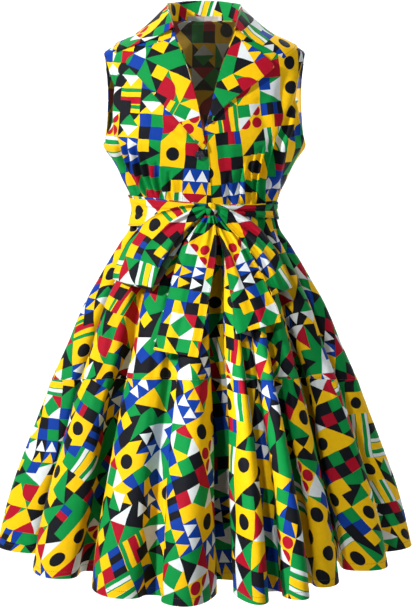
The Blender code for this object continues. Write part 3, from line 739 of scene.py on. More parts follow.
@dataclass
class Cloth:
    """A piece of cloth: outer points on a grid, and the flat cut's coordinates of each."""

    points: np.ndarray
    cut: np.ndarray
    thickness: float = WALL

    def normals(self) -> np.ndarray:
        """Unit normals that point out of the cloth's face."""
        out = np.cross(np.gradient(self.points, axis=0), np.gradient(self.points, axis=1))
        return out / np.maximum(np.linalg.norm(out, axis=-1, keepdims=True), 1e-12)

    def press(self, dent: np.ndarray) -> "Cloth":
        """Move the points inwards by these distances.

        Args:
            dent: A distance for each point.

        Returns:
            The cloth itself.
        """
        self.points = self.points - self.normals() * dent[..., None]
        return self

    def crease(self, places: np.ndarray, folds: tuple[Crease, ...]) -> "Cloth":
        """Press creases into the cloth.

        Args:
            places: Each point's place in the creases' coordinates.
            folds: The creases.

        Returns:
            The cloth itself.
        """
        return self.press(sum(fold.dent(places) for fold in folds))

    def line(self, side: Side, inset: float) -> tuple[np.ndarray, np.ndarray]:
        """A line on the face at a distance from one edge.

        Args:
            side: The edge.
            inset: The distance.

        Returns:
            The line's points and their normals.
        """
        axis, from_end = side.value
        grids = [self.points, self.normals()]
        if axis == 0:
            grids = [np.swapaxes(g, 0, 1) for g in grids]
        if from_end:
            grids = [g[:, ::-1] for g in grids]
        points, out = grids
        run = run_along(points, 1)
        index = np.clip((run < inset).sum(axis=1) - 1, 0, run.shape[1] - 2)
        rows = np.arange(len(points))
        share = (inset - run[rows, index]) / np.maximum(run[rows, index + 1] - run[rows, index], 1e-9)
        share = np.clip(share, 0.0, 1.0)[:, None]
        return (points[rows, index] * (1 - share) + points[rows, index + 1] * share,
                out[rows, index] * (1 - share) + out[rows, index + 1] * share)

    def mesh(self, name: str) -> bpy.types.Object:
        """The cloth as a thin closed wall, its face in the first material and its back in the second.

        Args:
            name: The piece's name.

        Returns:
            The new object.
        """
        columns, rows = self.points.shape[:2]
        count = columns * rows
        inner = self.points - self.normals() * self.thickness
        vertices = np.concatenate((self.points.reshape(-1, 3), inner.reshape(-1, 3)))
        number = np.arange(count).reshape(columns, rows)
        a, b = number[:-1, :-1], number[1:, :-1]
        c, d = number[1:, 1:], number[:-1, 1:]
        face = np.stack((a, b, c, d), axis=-1).reshape(-1, 4)
        ring = np.concatenate((number[:, 0], number[-1, 1:], number[-2::-1, -1], number[0, -2:0:-1]))
        after = np.roll(ring, -1)
        rim = np.stack((after, ring, ring + count, after + count), axis=-1)
        faces = np.concatenate((face, face[:, ::-1] + count, rim))
        made = new_object(name, vertices, faces.tolist())
        mesh = made.data
        mesh.polygons.foreach_set("material_index", np.repeat((0, 1, 0), (len(face), len(face), len(rim))))
        flat = self.cut.reshape(-1, 2)
        layer = mesh.uv_layers.new(name="cut")
        layer.data.foreach_set("uv", flat[faces.reshape(-1) % count].astype(np.float32).ravel())
        mesh.set_sharp_from_angle(angle=SHARP)
        mesh.update()
        return made


@dataclass(frozen=True)
class Stitching:
    """Rows of machine stitches, each a small rod with pointed ends.

    Attributes:
        pitch: Length from one stitch to the next.
        length: A stitch's length.
        radius: A stitch's radius.
        sides: How many sides a stitch has.
        taper: How far in from each end a stitch is thick, as a share of its length.
    """

    pitch: float = 0.0034
    length: float = 0.0029
    radius: float = 0.00034
    sides: int = 4
    taper: float = 0.28

    def rows(self, name: str, lines: list[Line]) -> bpy.types.Object:
        """One mesh of all the stitches along some lines.

        Args:
            name: The piece's name.
            lines: Each line's points and normals.

        Returns:
            The new object.
        """
        vertices, faces = [], []
        for points, out in lines:
            run = run_along(points)
            places = np.arange(self.pitch, run[-1] - self.pitch / 2, self.pitch)
            ends = [places - self.length / 2, places + self.length / 2]
            start, end = (np.stack([np.interp(e, run, points[:, k]) for k in range(3)], -1) for e in ends)
            up = np.stack([np.interp(places, run, out[:, k]) for k in range(3)], -1)
            up /= np.linalg.norm(up, axis=-1, keepdims=True)
            along = end - start
            along /= np.maximum(np.linalg.norm(along, axis=-1, keepdims=True), 1e-9)
            side = np.cross(along, up)
            for i in range(len(places)):
                base = len(vertices)
                vertices.append(start[i] - up[i] * self.radius)
                for share in (self.taper, 1 - self.taper):
                    centre = start[i] * (1 - share) + end[i] * share
                    for k in range(self.sides):
                        turn = 2 * math.pi * k / self.sides
                        spoke = side[i] * math.cos(turn) + up[i] * math.sin(turn)
                        vertices.append(centre + (spoke + up[i] * 0.5) * self.radius)
                tip = len(vertices)
                vertices.append(end[i] - up[i] * self.radius)
                for k in range(self.sides):
                    a, b = base + 1 + k, base + 1 + (k + 1) % self.sides
                    faces.append((base, b, a))
                    faces.append((a, b, b + self.sides, a + self.sides))
                    faces.append((a + self.sides, b + self.sides, tip))
        return new_object(name, vertices, faces)


# Dark thread for all the stitching; along the lapels' and the bow's edges its rows are also painted shade, a
# dark line standing in for the shade at those edges
THREAD_AND_EDGE_SHADE = PlainFinish("thread", (0.035, 0.035, 0.030), 0.7)
STITCHES = Stitching()


@dataclass
class Maker:
    """What every sub-assembly needs: it puts a piece on the body and hides the CAD nodes it stands for."""

    def dress(self, piece: bpy.types.Object, *materials: bpy.types.Material) -> bpy.types.Object:
        """Put materials on a piece, and the piece on the body.

        Args:
            piece: The piece.
            materials: Its materials, in the order of its faces' numbers.

        Returns:
            The piece.
        """
        for material in materials:
            piece.data.materials.append(material)
        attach(piece, BODY)
        return piece

    def cloth(self, name: str, cloth: Cloth, cotton: WaxCotton, nodes: tuple[str, ...], held: str,
              rests_on: tuple[str, ...], lines: list[Line] | None = None) -> None:
        """Make and dress one piece of cloth, and hide the CAD nodes it stands for.

        Args:
            name: The piece's name.
            cloth: Its shape and cut.
            cotton: Its print.
            nodes: The CAD nodes it stands for.
            held: How the cloth is held; not used.
            rests_on: What it lies on or hangs from; not used.
            lines: Where it is stitched.
        """
        piece = self.dress(cloth.mesh(name), cotton.material(name + "_face"),
                           cotton.material(name + "_back", reverse=True))
        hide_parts(*nodes)
        if lines:
            # Real stitching, which along lapel and bow edges also paints a dark shade line
            self.dress(STITCHES.rows(name + "_stitches", lines), THREAD_AND_EDGE_SHADE.material())


@dataclass
class Bodice(Maker):
    """Two fronts that lap at the centre, gathered into the waist, and a plain back.

    Attributes:
        neck: The fronts' neck edge's x and height, and the outer edge's angle and height beside it.
        centre: Below it the right and the left front's x, their height, and the side seam's height.
        back_half: The back's inner edge's angle and height, and its outer edge's.
        gathers: How many gathers each front has at the waist.
        gather_depth: How deep they are.
        gather_span: The shares of a front's width at which they start and end.
        gather_top: The height at which they die away.
        lap_edge: The angles between which the right front comes off the form, over the left.
        steps: Steps of the grid across a panel and up it.
    """

    neck: Rows = (
        (0.0085, -0.180, 78.0, -0.227),
        (0.0190, -0.135, 70.0, -0.203),
        (0.0300, -0.095, 66.0, -0.168),
        (0.0430, -0.058, 65.5, -0.130),
        (0.0555, -0.028, 69.0, -0.097),
        (0.0630, -0.010, 77.0, -0.073),
        (0.0660, NECK_Z, 90.0, SHOULDER_Z),
    )
    centre: Rows = (
        (0.0120, -0.0120, WAIST_Z, WAIST_Z),
        (0.0118, -0.0120, -0.337, -0.338),
        (0.0110, -0.0120, -0.306, -0.312),
        (0.0085, -0.0110, -0.272, -0.284),
        (0.0040, -0.0070, -0.240, -0.260),
        (-0.0040, -0.0010, -0.213, UNDERARM_Z),
    )
    back_half: Rows = (
        (180.0, WAIST_Z, 90.0, WAIST_Z),
        (180.0, -0.337, 90.0, -0.338),
        (180.0, -0.305, 90.0, -0.312),
        (180.0, -0.268, 90.0, -0.284),
        (180.0, -0.228, 90.0, -0.260),
        (180.0, -0.185, 90.0, UNDERARM_Z),
        (180.0, -0.135, 96.0, -0.227),
        (180.0, -0.085, 100.0, -0.203),
        (180.0, -0.035, 102.0, -0.168),
        (180.0, NECK_Z, 102.5, -0.130),
        (150.0, NECK_Z, 100.5, -0.097),
        (118.0, NECK_Z, 96.0, -0.073),
        (90.0, NECK_Z, 90.0, SHOULDER_Z),
    )
    right_creases: tuple[Crease, ...] = creases(
        (-0.160, -0.075, -0.170, -0.236, 0.0056, 0.0083),
        (-0.163, -0.225, -0.118, -0.345, 0.0050, 0.0120),
        (-0.146, -0.236, -0.109, -0.348, 0.0045, 0.0096),
        (-0.128, -0.232, -0.097, -0.348, 0.0045, 0.0087),
        (-0.108, -0.262, -0.085, -0.348, 0.0039, 0.0072),
        (-0.088, -0.268, -0.073, -0.348, 0.0039, 0.0072),
        (-0.064, -0.285, -0.057, -0.348, 0.0039, 0.0057),
        (-0.044, -0.296, -0.040, -0.348, 0.0039, 0.0043),
        (-0.152, -0.110, -0.120, -0.205, 0.0112, 0.0048),
        (-0.100, -0.180, -0.035, -0.238, 0.0112, 0.0046),
        (-0.178, -0.120, -0.176, -0.225, 0.0050, 0.0049),
        (-0.060, -0.205, -0.022, -0.275, 0.0090, 0.0026),
    )
    left_creases: tuple[Crease, ...] = creases(
        (0.170, -0.150, 0.124, -0.345, 0.0056, 0.0124),
        (0.142, -0.215, 0.117, -0.348, 0.0045, 0.0111),
        (0.126, -0.222, 0.105, -0.348, 0.0045, 0.0105),
        (0.106, -0.238, 0.092, -0.348, 0.0040, 0.0087),
        (0.090, -0.250, 0.081, -0.348, 0.0040, 0.0077),
        (0.070, -0.270, 0.067, -0.348, 0.0039, 0.0063),
        (0.046, -0.285, 0.048, -0.348, 0.0039, 0.0048),
        (0.156, -0.095, 0.140, -0.200, 0.0101, 0.0048),
        (0.100, -0.150, 0.122, -0.222, 0.0112, 0.0046),
        (0.034, -0.215, 0.046, -0.300, 0.0090, 0.0029),
        (0.180, -0.110, 0.176, -0.230, 0.0050, 0.0049),
    )
    back_creases: tuple[Crease, ...] = creases(
        (-0.158, -0.225, -0.108, -0.345, 0.0056, 0.0105),
        (-0.118, -0.245, -0.088, -0.348, 0.0047, 0.0087),
        (-0.074, -0.262, -0.060, -0.348, 0.0045, 0.0072),
        (-0.033, -0.280, -0.028, -0.348, 0.0045, 0.0057),
        (0.022, -0.276, 0.018, -0.348, 0.0045, 0.0063),
        (0.070, -0.256, 0.056, -0.348, 0.0047, 0.0077),
        (0.112, -0.250, 0.086, -0.348, 0.0047, 0.0087),
        (0.154, -0.230, 0.110, -0.345, 0.0056, 0.0105),
        (-0.140, -0.100, -0.080, -0.190, 0.0134, 0.0045),
        (0.145, -0.115, 0.075, -0.185, 0.0134, 0.0042),
        (-0.050, -0.056, 0.058, -0.074, 0.0157, 0.0035),
        (0.030, -0.130, -0.060, -0.175, 0.0157, 0.0026),
    )
    gathers: int = 4
    gather_depth: float = 0.0050
    gather_span: tuple[float, float] = (0.20, 0.80)
    gather_top: float = -0.255
    lap_edge: tuple[float, float] = (-24.0, -10.0)
    steps: tuple[int, int] = (110, 120)

    def lap(self, side: int, angle: np.ndarray) -> np.ndarray:
        """How far a front stands off the form where the right laps over the left."""
        return LAP_LIFT * smoothstep(*self.lap_edge, angle) if side < 0 else np.zeros_like(angle)

    def front(self, side: int) -> Cloth:
        """One front, its grid running from one side seam or centre edge to the other.

        Args:
            side: 1 for the wearer's left, towards +X, and -1 for the right.

        Returns:
            The cloth.
        """
        rows = tuple((row[side > 0], row[2], 90.0, row[3]) for row in self.centre)
        edges = np.array(rows + tuple((side * x, z, angle, outer) for x, z, angle, outer in self.neck))
        edges[:, 0] = FORM.angle_at(edges[:, 0], edges[:, 1])
        edges[-1, 0] = side * 90.0
        edges = Table(tuple(map(tuple, edges))).spread(self.steps[1])
        u = np.linspace(0.0, 1.0, self.steps[0] + 1)[:, None]
        angle = (1 - u) * edges[None, :, 0] + u * side * edges[None, :, 2]
        height = (1 - u) * edges[None, :, 1] + u * edges[None, :, 3]
        start, end = self.gather_span
        phase = np.clip((u - start) / (end - start), 0.0, 1.0) * self.gathers
        gather = self.gather_depth * (1 - np.cos(2 * math.pi * phase)) / 2
        gather = gather * smoothstep(self.gather_top, WAIST_Z, height)
        points = FORM.point(angle, height, self.lap(side, angle) - gather)
        points[..., 1] -= GAP / 2
        cut = joined(FORM.girth(angle, height), height)
        if side < 0:
            points, cut = points[::-1], cut[::-1]
        return Cloth(points, cut)

    def back(self) -> Cloth:
        """The back, in one piece from side seam to side seam.

        Returns:
            The cloth.
        """
        edges = Table(self.back_half).spread(self.steps[1])
        u = np.linspace(-1.0, 1.0, 2 * self.steps[0] + 1)[:, None]
        share = np.abs(u)
        angle = (1 - share) * edges[None, :, 0] + share * edges[None, :, 2]
        height = (1 - share) * edges[None, :, 1] + share * edges[None, :, 3]
        points = FORM.point(angle, height)
        cut = joined(FORM.girth(angle, height, 180.0), height)
        turned = u > 0
        points[..., 0] = np.where(turned, -points[..., 0], points[..., 0])
        cut[..., 0] = np.where(turned, -cut[..., 0], cut[..., 0])
        points[..., 1] += GAP / 2
        return Cloth(points, cut)

    def build(self) -> None:
        """Build the fronts and the back."""
        for side, name, turn, shift, folds in ((-1, "right", 5.0, (0.013, 0.006), self.right_creases),
                                               (1, "left", -7.0, (0.008, 0.035), self.left_creases)):
            cloth = self.front(side)
            cloth.crease(cloth.points[..., (0, 2)], folds)
            edges = (Side.LAST_COLUMN, Side.FIRST_COLUMN)[::side]
            lines = [cloth.line(edges[0], ARMHOLE_INSET), cloth.line(edges[1], 0.004)]
            self.cloth(f"front_{name}", cloth, WaxCotton("print_bodice", turn, shift),
                       (f"bodice_front_{name}",), "draped", ("sash",), lines)
        cloth = self.back()
        cloth.crease(cloth.points[..., (0, 2)], self.back_creases)
        lines = [cloth.line(edge, ARMHOLE_INSET) for edge in (Side.FIRST_COLUMN, Side.LAST_COLUMN)]
        self.cloth("back", cloth, WaxCotton("print_bodice", 0.0, (0.021, 0.034)),
                   ("bodice_back",), "draped", ("sash",), lines)
        LOG.info("bodice: two fronts and a back")


@dataclass
class CollarSet(Maker):
    """The notched collar, its two lapels and the blank label inside the stand.

    Attributes:
        collar_right: From the back round to the front at -X: x, y and z of the neck seam, and of
            the fold, both without their side, then the outer edge's angle and height.
        collar_left: The same for the side at +X.
        lapel_right: From the break up: x and height of the lapel's roll line, then of its edge.
        lapel_left: The same for the side at +X.
        roll: Radius of the collar's fold.
        sag: How far the fall hangs below a straight line.
        rise: How far a lapel bulges between its roll line and its edge.
        curl: How far its edge stands off.
        lifts: How far the lapels lie off their fronts, at -X and at +X.
        steps: Steps of the grid along half the collar and across it.
    """

    collar_right: Rows = (
        (0.0000, 0.0580, 0.0015, 0.0000, 0.0660, 0.0440, 180.0, -0.030),
        (0.0310, 0.0510, 0.0015, 0.0330, 0.0590, 0.0415, 150.0, -0.036),
        (0.0530, 0.0300, 0.0015, 0.0570, 0.0360, 0.0355, 122.0, -0.041),
        (0.0625, 0.0050, 0.0015, 0.0670, 0.0060, 0.0300, 97.0, -0.041),
        (0.0615, -0.0170, 0.0000, 0.0660, -0.0220, 0.0180, 77.0, -0.045),
        (0.0590, -0.0420, -0.0080, 0.0610, -0.0480, 0.0000, 67.0, -0.053),
        (0.0535, -0.0625, -0.0245, 0.0560, -0.0690, -0.0200, 60.0, -0.066),
    )
    collar_left: Rows = (
        (0.0000, 0.0580, 0.0015, 0.0000, 0.0660, 0.0440, 180.0, -0.030),
        (0.0310, 0.0510, 0.0015, 0.0330, 0.0590, 0.0410, 150.0, -0.037),
        (0.0530, 0.0300, 0.0015, 0.0570, 0.0360, 0.0340, 122.0, -0.043),
        (0.0625, 0.0050, 0.0015, 0.0665, 0.0060, 0.0265, 97.0, -0.044),
        (0.0615, -0.0170, 0.0000, 0.0655, -0.0220, 0.0140, 75.0, -0.050),
        (0.0590, -0.0420, -0.0080, 0.0610, -0.0480, -0.0010, 60.0, -0.062),
        (0.0535, -0.0625, -0.0245, 0.0560, -0.0690, -0.0200, 49.0, -0.077),
    )
    lapel_right: Rows = (
        (0.0050, -0.246, -0.0040, -0.246),
        (-0.0010, -0.225, -0.0240, -0.222),
        (-0.0065, -0.195, -0.0445, -0.196),
        (-0.0130, -0.160, -0.0750, -0.163),
        (-0.0225, -0.125, -0.1120, -0.118),
        (-0.0335, -0.087, -0.1390, -0.083),
        (-0.0545, -0.037, -0.1020, -0.056),
    )
    lapel_left: Rows = (
        (0.0040, -0.200, 0.0100, -0.197),
        (0.0085, -0.180, 0.0230, -0.181),
        (0.0150, -0.152, 0.0500, -0.155),
        (0.0225, -0.122, 0.0800, -0.133),
        (0.0320, -0.090, 0.1010, -0.116),
        (0.0410, -0.068, 0.1235, -0.091),
        (0.0555, -0.035, 0.0920, -0.060),
    )
    roll: float = 0.0032
    sag: float = 0.006
    rise: float = 0.006
    curl: float = 0.0042
    lifts: tuple[float, float] = (0.0022, 0.0006)
    steps: tuple[int, int] = (60, 40)

    def profile(self, row: np.ndarray) -> np.ndarray:
        """Points across the collar: up the stand, over the fold and down the fall.

        Args:
            row: Seam, fold, and the outer edge's angle and height.

        Returns:
            The points, from the neck seam to the outer edge.
        """
        seam, fold = row[0:3], row[3:6]
        edge = FORM.point(row[6], row[7])
        outward = np.array((fold[0], fold[1], 0.0))
        outward /= np.linalg.norm(outward)
        turn = fold + outward * self.roll
        far = turn + outward * self.roll
        rows = [seam, seam + (fold - seam) * 0.55, fold, turn + (0.0, 0.0, self.roll), far]
        for share in (0.4, 0.72, 1.0):
            rows.append(far + (edge - far) * share - (0.0, 0.0, self.sag * math.sin(math.pi * share)))
        smooth = Table(tuple(map(tuple, rows))).spread(self.steps[1])
        fall = int(self.steps[1] * 4 / 7)
        smooth[fall:] = FORM.clear(smooth[fall:], WALL + 5 * GAP)
        return smooth

    def collar(self) -> Cloth:
        """The collar, from its front end at -X round the back to the other.

        Returns:
            The cloth.
        """
        halves = []
        for table, side in ((self.collar_right, -1.0), (self.collar_left, 1.0)):
            rows = Table(table).spread(self.steps[0])
            halves.append(np.array([self.profile(row) * (side, 1.0, 1.0) for row in rows]))
        points = np.concatenate((halves[0][::-1], halves[1][1:]))
        return Cloth(points, grid_cut(points))

    def lapel(self, side: int, bodice: Bodice) -> Cloth:
        """A lapel, turned back over its front.

        Args:
            side: 1 towards +X and -1 towards -X.
            bodice: The bodice it lies on.

        Returns:
            The cloth.
        """
        rows = Table(self.lapel_left if side > 0 else self.lapel_right).spread(56)
        share = np.linspace(0.0, 1.0, 25)[None, :]
        x = rows[:, :1] + (rows[:, 2:3] - rows[:, :1]) * share
        z = rows[:, 1:2] + (rows[:, 3:4] - rows[:, 1:2]) * share
        angle = FORM.angle_at(x, z)
        lift = self.lifts[side > 0] + bodice.lap(side, angle)
        lift = lift + self.rise * (1 - share) * share + self.curl * share**3
        points = FORM.point(angle, z, lift + WALL)
        points[..., 1] -= GAP / 2
        cut = joined(x, z)
        if side > 0:
            points, cut = points[::-1], cut[::-1]
        return Cloth(points, cut)

    def build(self, bodice: Bodice) -> None:
        """Build the collar and the lapels.

        Args:
            bodice: The bodice they lie on.
        """
        cloth = self.collar()
        lines = [cloth.line(Side.TOP, 0.005)]
        self.cloth("collar_fold", cloth, WaxCotton("print_collar", 20.0, (0.017, 0.009)),
                   ("collar",), "folded", ("bodice_back",), lines)
        for side, name, turn in ((-1, "right", 27.0), (1, "left", -30.0)):
            cloth = self.lapel(side, bodice)
            notch = Side.FIRST_COLUMN if side > 0 else Side.LAST_COLUMN
            # The dark stitches close to the lapel's top and notch edges are partly stitching and partly a
            # painted shade line along those edges
            self.cloth(f"lapel_turned_{name}", cloth, WaxCotton("print_collar", turn, (0.011, 0.027)),
                       (f"lapel_{name}",), "folded", (f"front_{name}",),
                       [cloth.line(edge, EDGE_SHADE_STITCH_INSET) for edge in (Side.TOP, notch)])
        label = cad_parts["label"].data.materials
        label.clear()
        label.append(PlainFinish("label_satin", (0.32, 0.32, 0.32), 0.45, 1500.0).material())
        LOG.info("collar: collar, two lapels and a label")


def grid_cut(points: np.ndarray) -> np.ndarray:
    """Flat coordinates of a strip of cloth from its own lengths.

    Args:
        points: The strip's grid.

    Returns:
        Length along the strip and length across it.
    """
    along = np.linalg.norm(np.diff(points, axis=0), axis=-1).mean(axis=1)
    run = np.concatenate(((0.0,), np.cumsum(along)))
    return joined(run[:, None], run_along(points, 1))


def fan_cut(points: np.ndarray) -> np.ndarray:
    """Flat coordinates of a flared panel, whose rows are arcs round one centre.

    Args:
        points: The panel's grid, its rows from the bottom up.

    Returns:
        The flat coordinates, with the panel's middle straight below the centre.
    """
    along = np.linalg.norm(np.diff(points, axis=1), axis=-1).mean(axis=0)
    run = run_along(points)
    rise = np.concatenate(((0.0,), np.cumsum(along)))
    girth = run[-1]
    run = run - girth / 2
    top = rise[-1] * girth[-1] / (girth[0] - girth[-1])
    radius = top + rise[-1] - rise
    turn = run / radius
    return joined(radius * np.sin(turn), -radius * np.cos(turn))


@dataclass(frozen=True)
class Tier:
    """A tier of the skirt.

    Attributes:
        name: What its pieces are called.
        node: What its CAD nodes are called.
        heights: Its rows' heights, from the top down.
        far: Height of the edge that isn't the seam between the tiers.
        drop: How far its top edge hangs below that edge's line.
        gather: Where its gathers' wander starts, half their depth, and how far down they die away.
        shift: Where its print starts.
        held: How it is held.
        rests_on: What it hangs from.
        inset: How far above its bottom edge it is stitched.
    """

    name: str
    node: str
    heights: np.ndarray
    far: float
    drop: float
    gather: tuple[float, float, float]
    shift: tuple[float, float]
    held: str
    rests_on: str
    inset: float


TIERS = (
    Tier("top", "upper", np.linspace(WAIST_Z, TIER_Z, 92), WAIST_Z, GAP / 2, (1.0, 0.0018, 0.085),
         (0.008, 0.019), "hung", "sash", 0.003),
    Tier("flounce", "lower", np.linspace(TIER_Z, HEM_Z, 88), HEM_Z, 1.5 * GAP, (2.0, 0.0014, 0.045),
         (0.027, 0.012), "gathered", "skirt_upper_{where}", 0.012),
)


@dataclass
class Skirt(Maker):
    """A flared skirt in two tiers, each a front and a back, that falls in deep folds.

    Attributes:
        flutes: The crest's angle, the hollow's angle, and the share of a full hollow at the hollow
            and at the crest.
        folds: Height, a full hollow's depth, and how far its sides swing towards it.
        gather_pitch: Length from one small gather to the next.
        pinches: Height, and the depth and width of the sharper hollow inside each hollow.
        drift: How far a hollow wanders sideways, and over what length.
        tuck: Depth and width of the soft crease beside each crest.
        tuck_at: Where that crease is between the crest and the hollow.
    """

    flutes: Rows = (
        (-90.0, -74.0, 1.10, 0.00),
        (-53.0, -40.5, 1.05, 0.36),
        (-23.0, -14.5, 0.50, 0.18),
        (-5.0, 6.5, 1.22, 0.00),
        (13.5, 19.0, 0.60, 0.00),
        (25.0, 31.0, 0.75, 0.02),
        (37.5, 51.0, 1.30, 0.42),
        (63.0, 76.5, 0.95, 0.32),
        (90.0, 101.0, 0.90, 0.00),
        (112.0, 124.0, 1.00, 0.20),
        (135.0, 146.0, 0.90, 0.05),
        (157.0, 169.0, 1.10, 0.10),
        (181.0, 191.0, 0.80, 0.00),
        (202.0, 214.0, 1.00, 0.12),
        (226.0, 237.0, 0.95, 0.05),
        (248.0, 259.5, 0.90, 0.20),
    )
    folds: Table = Table((
        (-0.353, 0.003, 0.00),
        (-0.378, 0.004, 0.02),
        (-0.416, 0.010, 0.04),
        (-0.454, 0.018, 0.06),
        (-0.530, 0.032, 0.09),
        (-0.606, 0.044, 0.12),
        (-0.682, 0.055, 0.14),
        (-0.760, 0.066, 0.16),
        (-0.840, 0.077, 0.17),
        (-0.920, 0.085, 0.18),
        (-0.993, 0.092, 0.18),
    ))
    gather_pitch: float = 0.019
    pinches: Table = Table((
        (-0.355, 0.000, 0.0060),
        (-0.420, 0.014, 0.0075),
        (-0.550, 0.026, 0.0110),
        (-0.680, 0.036, 0.0145),
        (-0.800, 0.043, 0.0175),
        (-0.993, 0.050, 0.0210),
    ))

    drift: tuple[float, float] = (0.004, 0.045)
    tuck: tuple[float, float] = (0.0030, 0.008)
    tuck_at: float = 0.3

    def columns(self, first: int, last: int, steps: int) -> np.ndarray:
        """Angle, swing towards the hollow and drop of each column over a run of folds.

        Args:
            first: The run's first fold.
            last: The fold after its last.
            steps: Columns to a half fold.

        Returns:
            A row for each column.
        """
        crests = [row[0] for row in self.flutes] + [self.flutes[0][0] + 360.0]
        share = np.arange(steps) / steps
        rise = np.sin(math.pi * share)
        found = []
        for index in range(first, last):
            crest, hollow, depth, high = self.flutes[index]
            after, after_high = crests[index + 1], self.flutes[(index + 1) % len(self.flutes)][3]
            down = high + (depth - high) * (1 - np.cos(math.pi * share)) / 2
            up = after_high + (depth - after_high) * (1 + np.cos(math.pi * share)) / 2
            found.append(joined(crest + (hollow - crest) * share, (hollow - crest) * rise, down))
            found.append(joined(hollow + (after - hollow) * share, (hollow - after) * rise, up))
        found.append(np.array(((crests[last], 0.0, 0.0),)))
        return np.concatenate(found)

    def panel(self, columns: np.ndarray, tier: Tier, side: int) -> Cloth:
        """One panel of one tier.

        Args:
            columns: What columns() gives.
            tier: The tier.
            side: -1 in front and 1 behind.

        Returns:
            The cloth.
        """
        seam = TIER_Z + TIER_RISE * np.maximum(np.cos(np.radians(columns[:, :1])), 0.0)
        height = tier.far + (seam - tier.far) * (tier.heights[None, :] - tier.far) / (TIER_Z - tier.far)
        angle = columns[:, :1] + self.folds.at(2, height) * columns[:, 1:2]
        points = FORM.point(angle, height, -self.folds.at(1, height) * columns[:, 2:3])
        points[..., 1] += side * GAP / 2
        points[:, 0, 2] -= tier.drop
        points = points[:, ::-1]
        return Cloth(points, fan_cut(points))

    def valleys(self, cloth: Cloth, columns: np.ndarray, first: int, last: int) -> Cloth:
        """Sharpen each hollow between the folds, and lay a softer pinch beside each crest.

        Args:
            cloth: The panel.
            columns: What columns() gave for it.
            first: The panel's first fold.
            last: The fold after its last.

        Returns:
            The cloth itself.
        """
        run = run_along(cloth.points)
        height = cloth.points[..., 2]
        dent = np.zeros_like(height)
        for index in range(first, last):
            crest, hollow, depth, _ = self.flutes[index]
            column = int(np.argmin(np.abs(columns[:, 0] - hollow)))
            wander = self.drift[0] * np.sin(height / self.drift[1] + index * 1.7)
            off = (run - run[column] - wander) / self.pinches.at(2, height)
            dent += self.pinches.at(1, height) * depth**1.5 * np.exp(-off**2)
            beside = (1 - self.tuck_at) * crest + self.tuck_at * hollow
            side = int(np.argmin(np.abs(columns[:, 0] - beside)))
            top = -0.42 - 0.05 * (index % 3)
            length = 0.16 + 0.06 * (index % 4)
            share = np.clip((top - height) / length, 0.0, 1.0)
            off = (run - run[side] - 0.02 * (share - 0.5)) / self.tuck[1]
            dent += self.tuck[0] * np.sin(math.pi * share) * np.exp(-off**2)
        cloth.press(dent)
        cloth.cut = fan_cut(cloth.points)
        return cloth

    def gather(self, cloth: Cloth, seed: float, depth: float, reach: float) -> Cloth:
        """Press the small gathers in below the panel's top edge.

        Args:
            cloth: The panel.
            seed: Where the gathers' wander starts.
            depth: Half of how deep they are.
            reach: How far down they die away.

        Returns:
            The cloth itself.
        """
        below = cloth.points[:, -1:, 2] - cloth.points[..., 2]
        run = run_along(cloth.points[:, -1])[:, None]
        wander = 0.9 * np.sin(run / 0.061 + seed) + 0.7 * np.sin(run / 0.037 + 2.1 * seed)
        reach = reach * (1 + 0.45 * np.sin(run / 0.026 + seed))
        wave = np.cos(2 * math.pi * run / self.gather_pitch + wander)
        size = depth * np.exp(-below / reach) * smoothstep(0.0, 0.010, below)
        ends = smoothstep(0.0, 0.02, run) * smoothstep(0.0, 0.02, run[-1] - run)
        return cloth.press(size * (1 - wave) * ends)

    def build(self) -> None:
        """Build both tiers, front and back."""
        for where, first, last, side, steps in (("front", 0, 8, -1, 20), ("back", 8, 16, 1, 14)):
            columns = self.columns(first, last, steps)
            for tier in TIERS:
                cloth = self.valleys(self.panel(columns, tier, side), columns, first, last)
                seed, depth, reach = tier.gather
                self.gather(cloth, seed + side, depth, reach)
                self.cloth(f"skirt_{tier.name}_{where}", cloth, WaxCotton("print_skirt", 0.0, tier.shift),
                           (f"skirt_{tier.node}_{where}",), tier.held, (tier.rests_on.format(where=where),),
                           [cloth.line(Side.BOTTOM, tier.inset)])
        LOG.info("skirt: two tiers, front and back")


@dataclass(frozen=True)
class Ribbon:
    """A loop or a tail of the bow.

    Attributes:
        phase: Where its pleats start.
        turn: How far the print is turned on it, in degrees.
        loop: True for a loop, whose two ends are drawn into the knot.
        rows: Along it: x and height of its middle, how far it stands out, its width and its slant.
        pleat: How deep its pleats are.
    """

    phase: float
    turn: float
    loop: bool
    rows: Rows
    pleat: float = 0.0037

    def cloth(self) -> Cloth:
        """Make the ribbon.

        Returns:
            The cloth.
        """
        rows = Table(self.rows).spread(96 if self.loop else 60)
        share = np.linspace(-0.5, 0.5, 25)[None, :]
        slant = np.radians(rows[:, 4:5])
        x = rows[:, :1] + rows[:, 3:4] * np.cos(slant) * share
        z = rows[:, 1:2] + rows[:, 3:4] * np.sin(slant) * share
        along = np.linspace(0.0, 1.0, len(rows))[:, None]
        pull = 0.25 + 0.75 * np.cos(math.pi * along) ** 2 if self.loop else 0.3 + 0.7 * np.exp(-3.5 * along)
        start = smoothstep(0.0, 0.06, along) * (smoothstep(0.0, 0.06, 1 - along) if self.loop else 1.0)
        wave = np.sin(2 * math.pi * (2.2 * share + 0.35 * along) + self.phase)
        wave = wave + 0.45 * np.sin(2 * math.pi * (4.1 * share - 0.5 * along) + 2 * self.phase)
        out = rows[:, 2:3] + self.pleat * pull * start * wave
        points = FORM.point(FORM.angle_at(x, z), z) - joined(0.0, out, 0.0)
        cut = grid_cut(points)
        cut[..., 1] -= cut[:, -1:, 1] / 2
        facing = np.cross(points[1, 0] - points[0, 0], points[0, 1] - points[0, 0])
        if facing[1] > 0:
            points, cut = points[:, ::-1], cut[:, ::-1]
        return Cloth(points, cut)


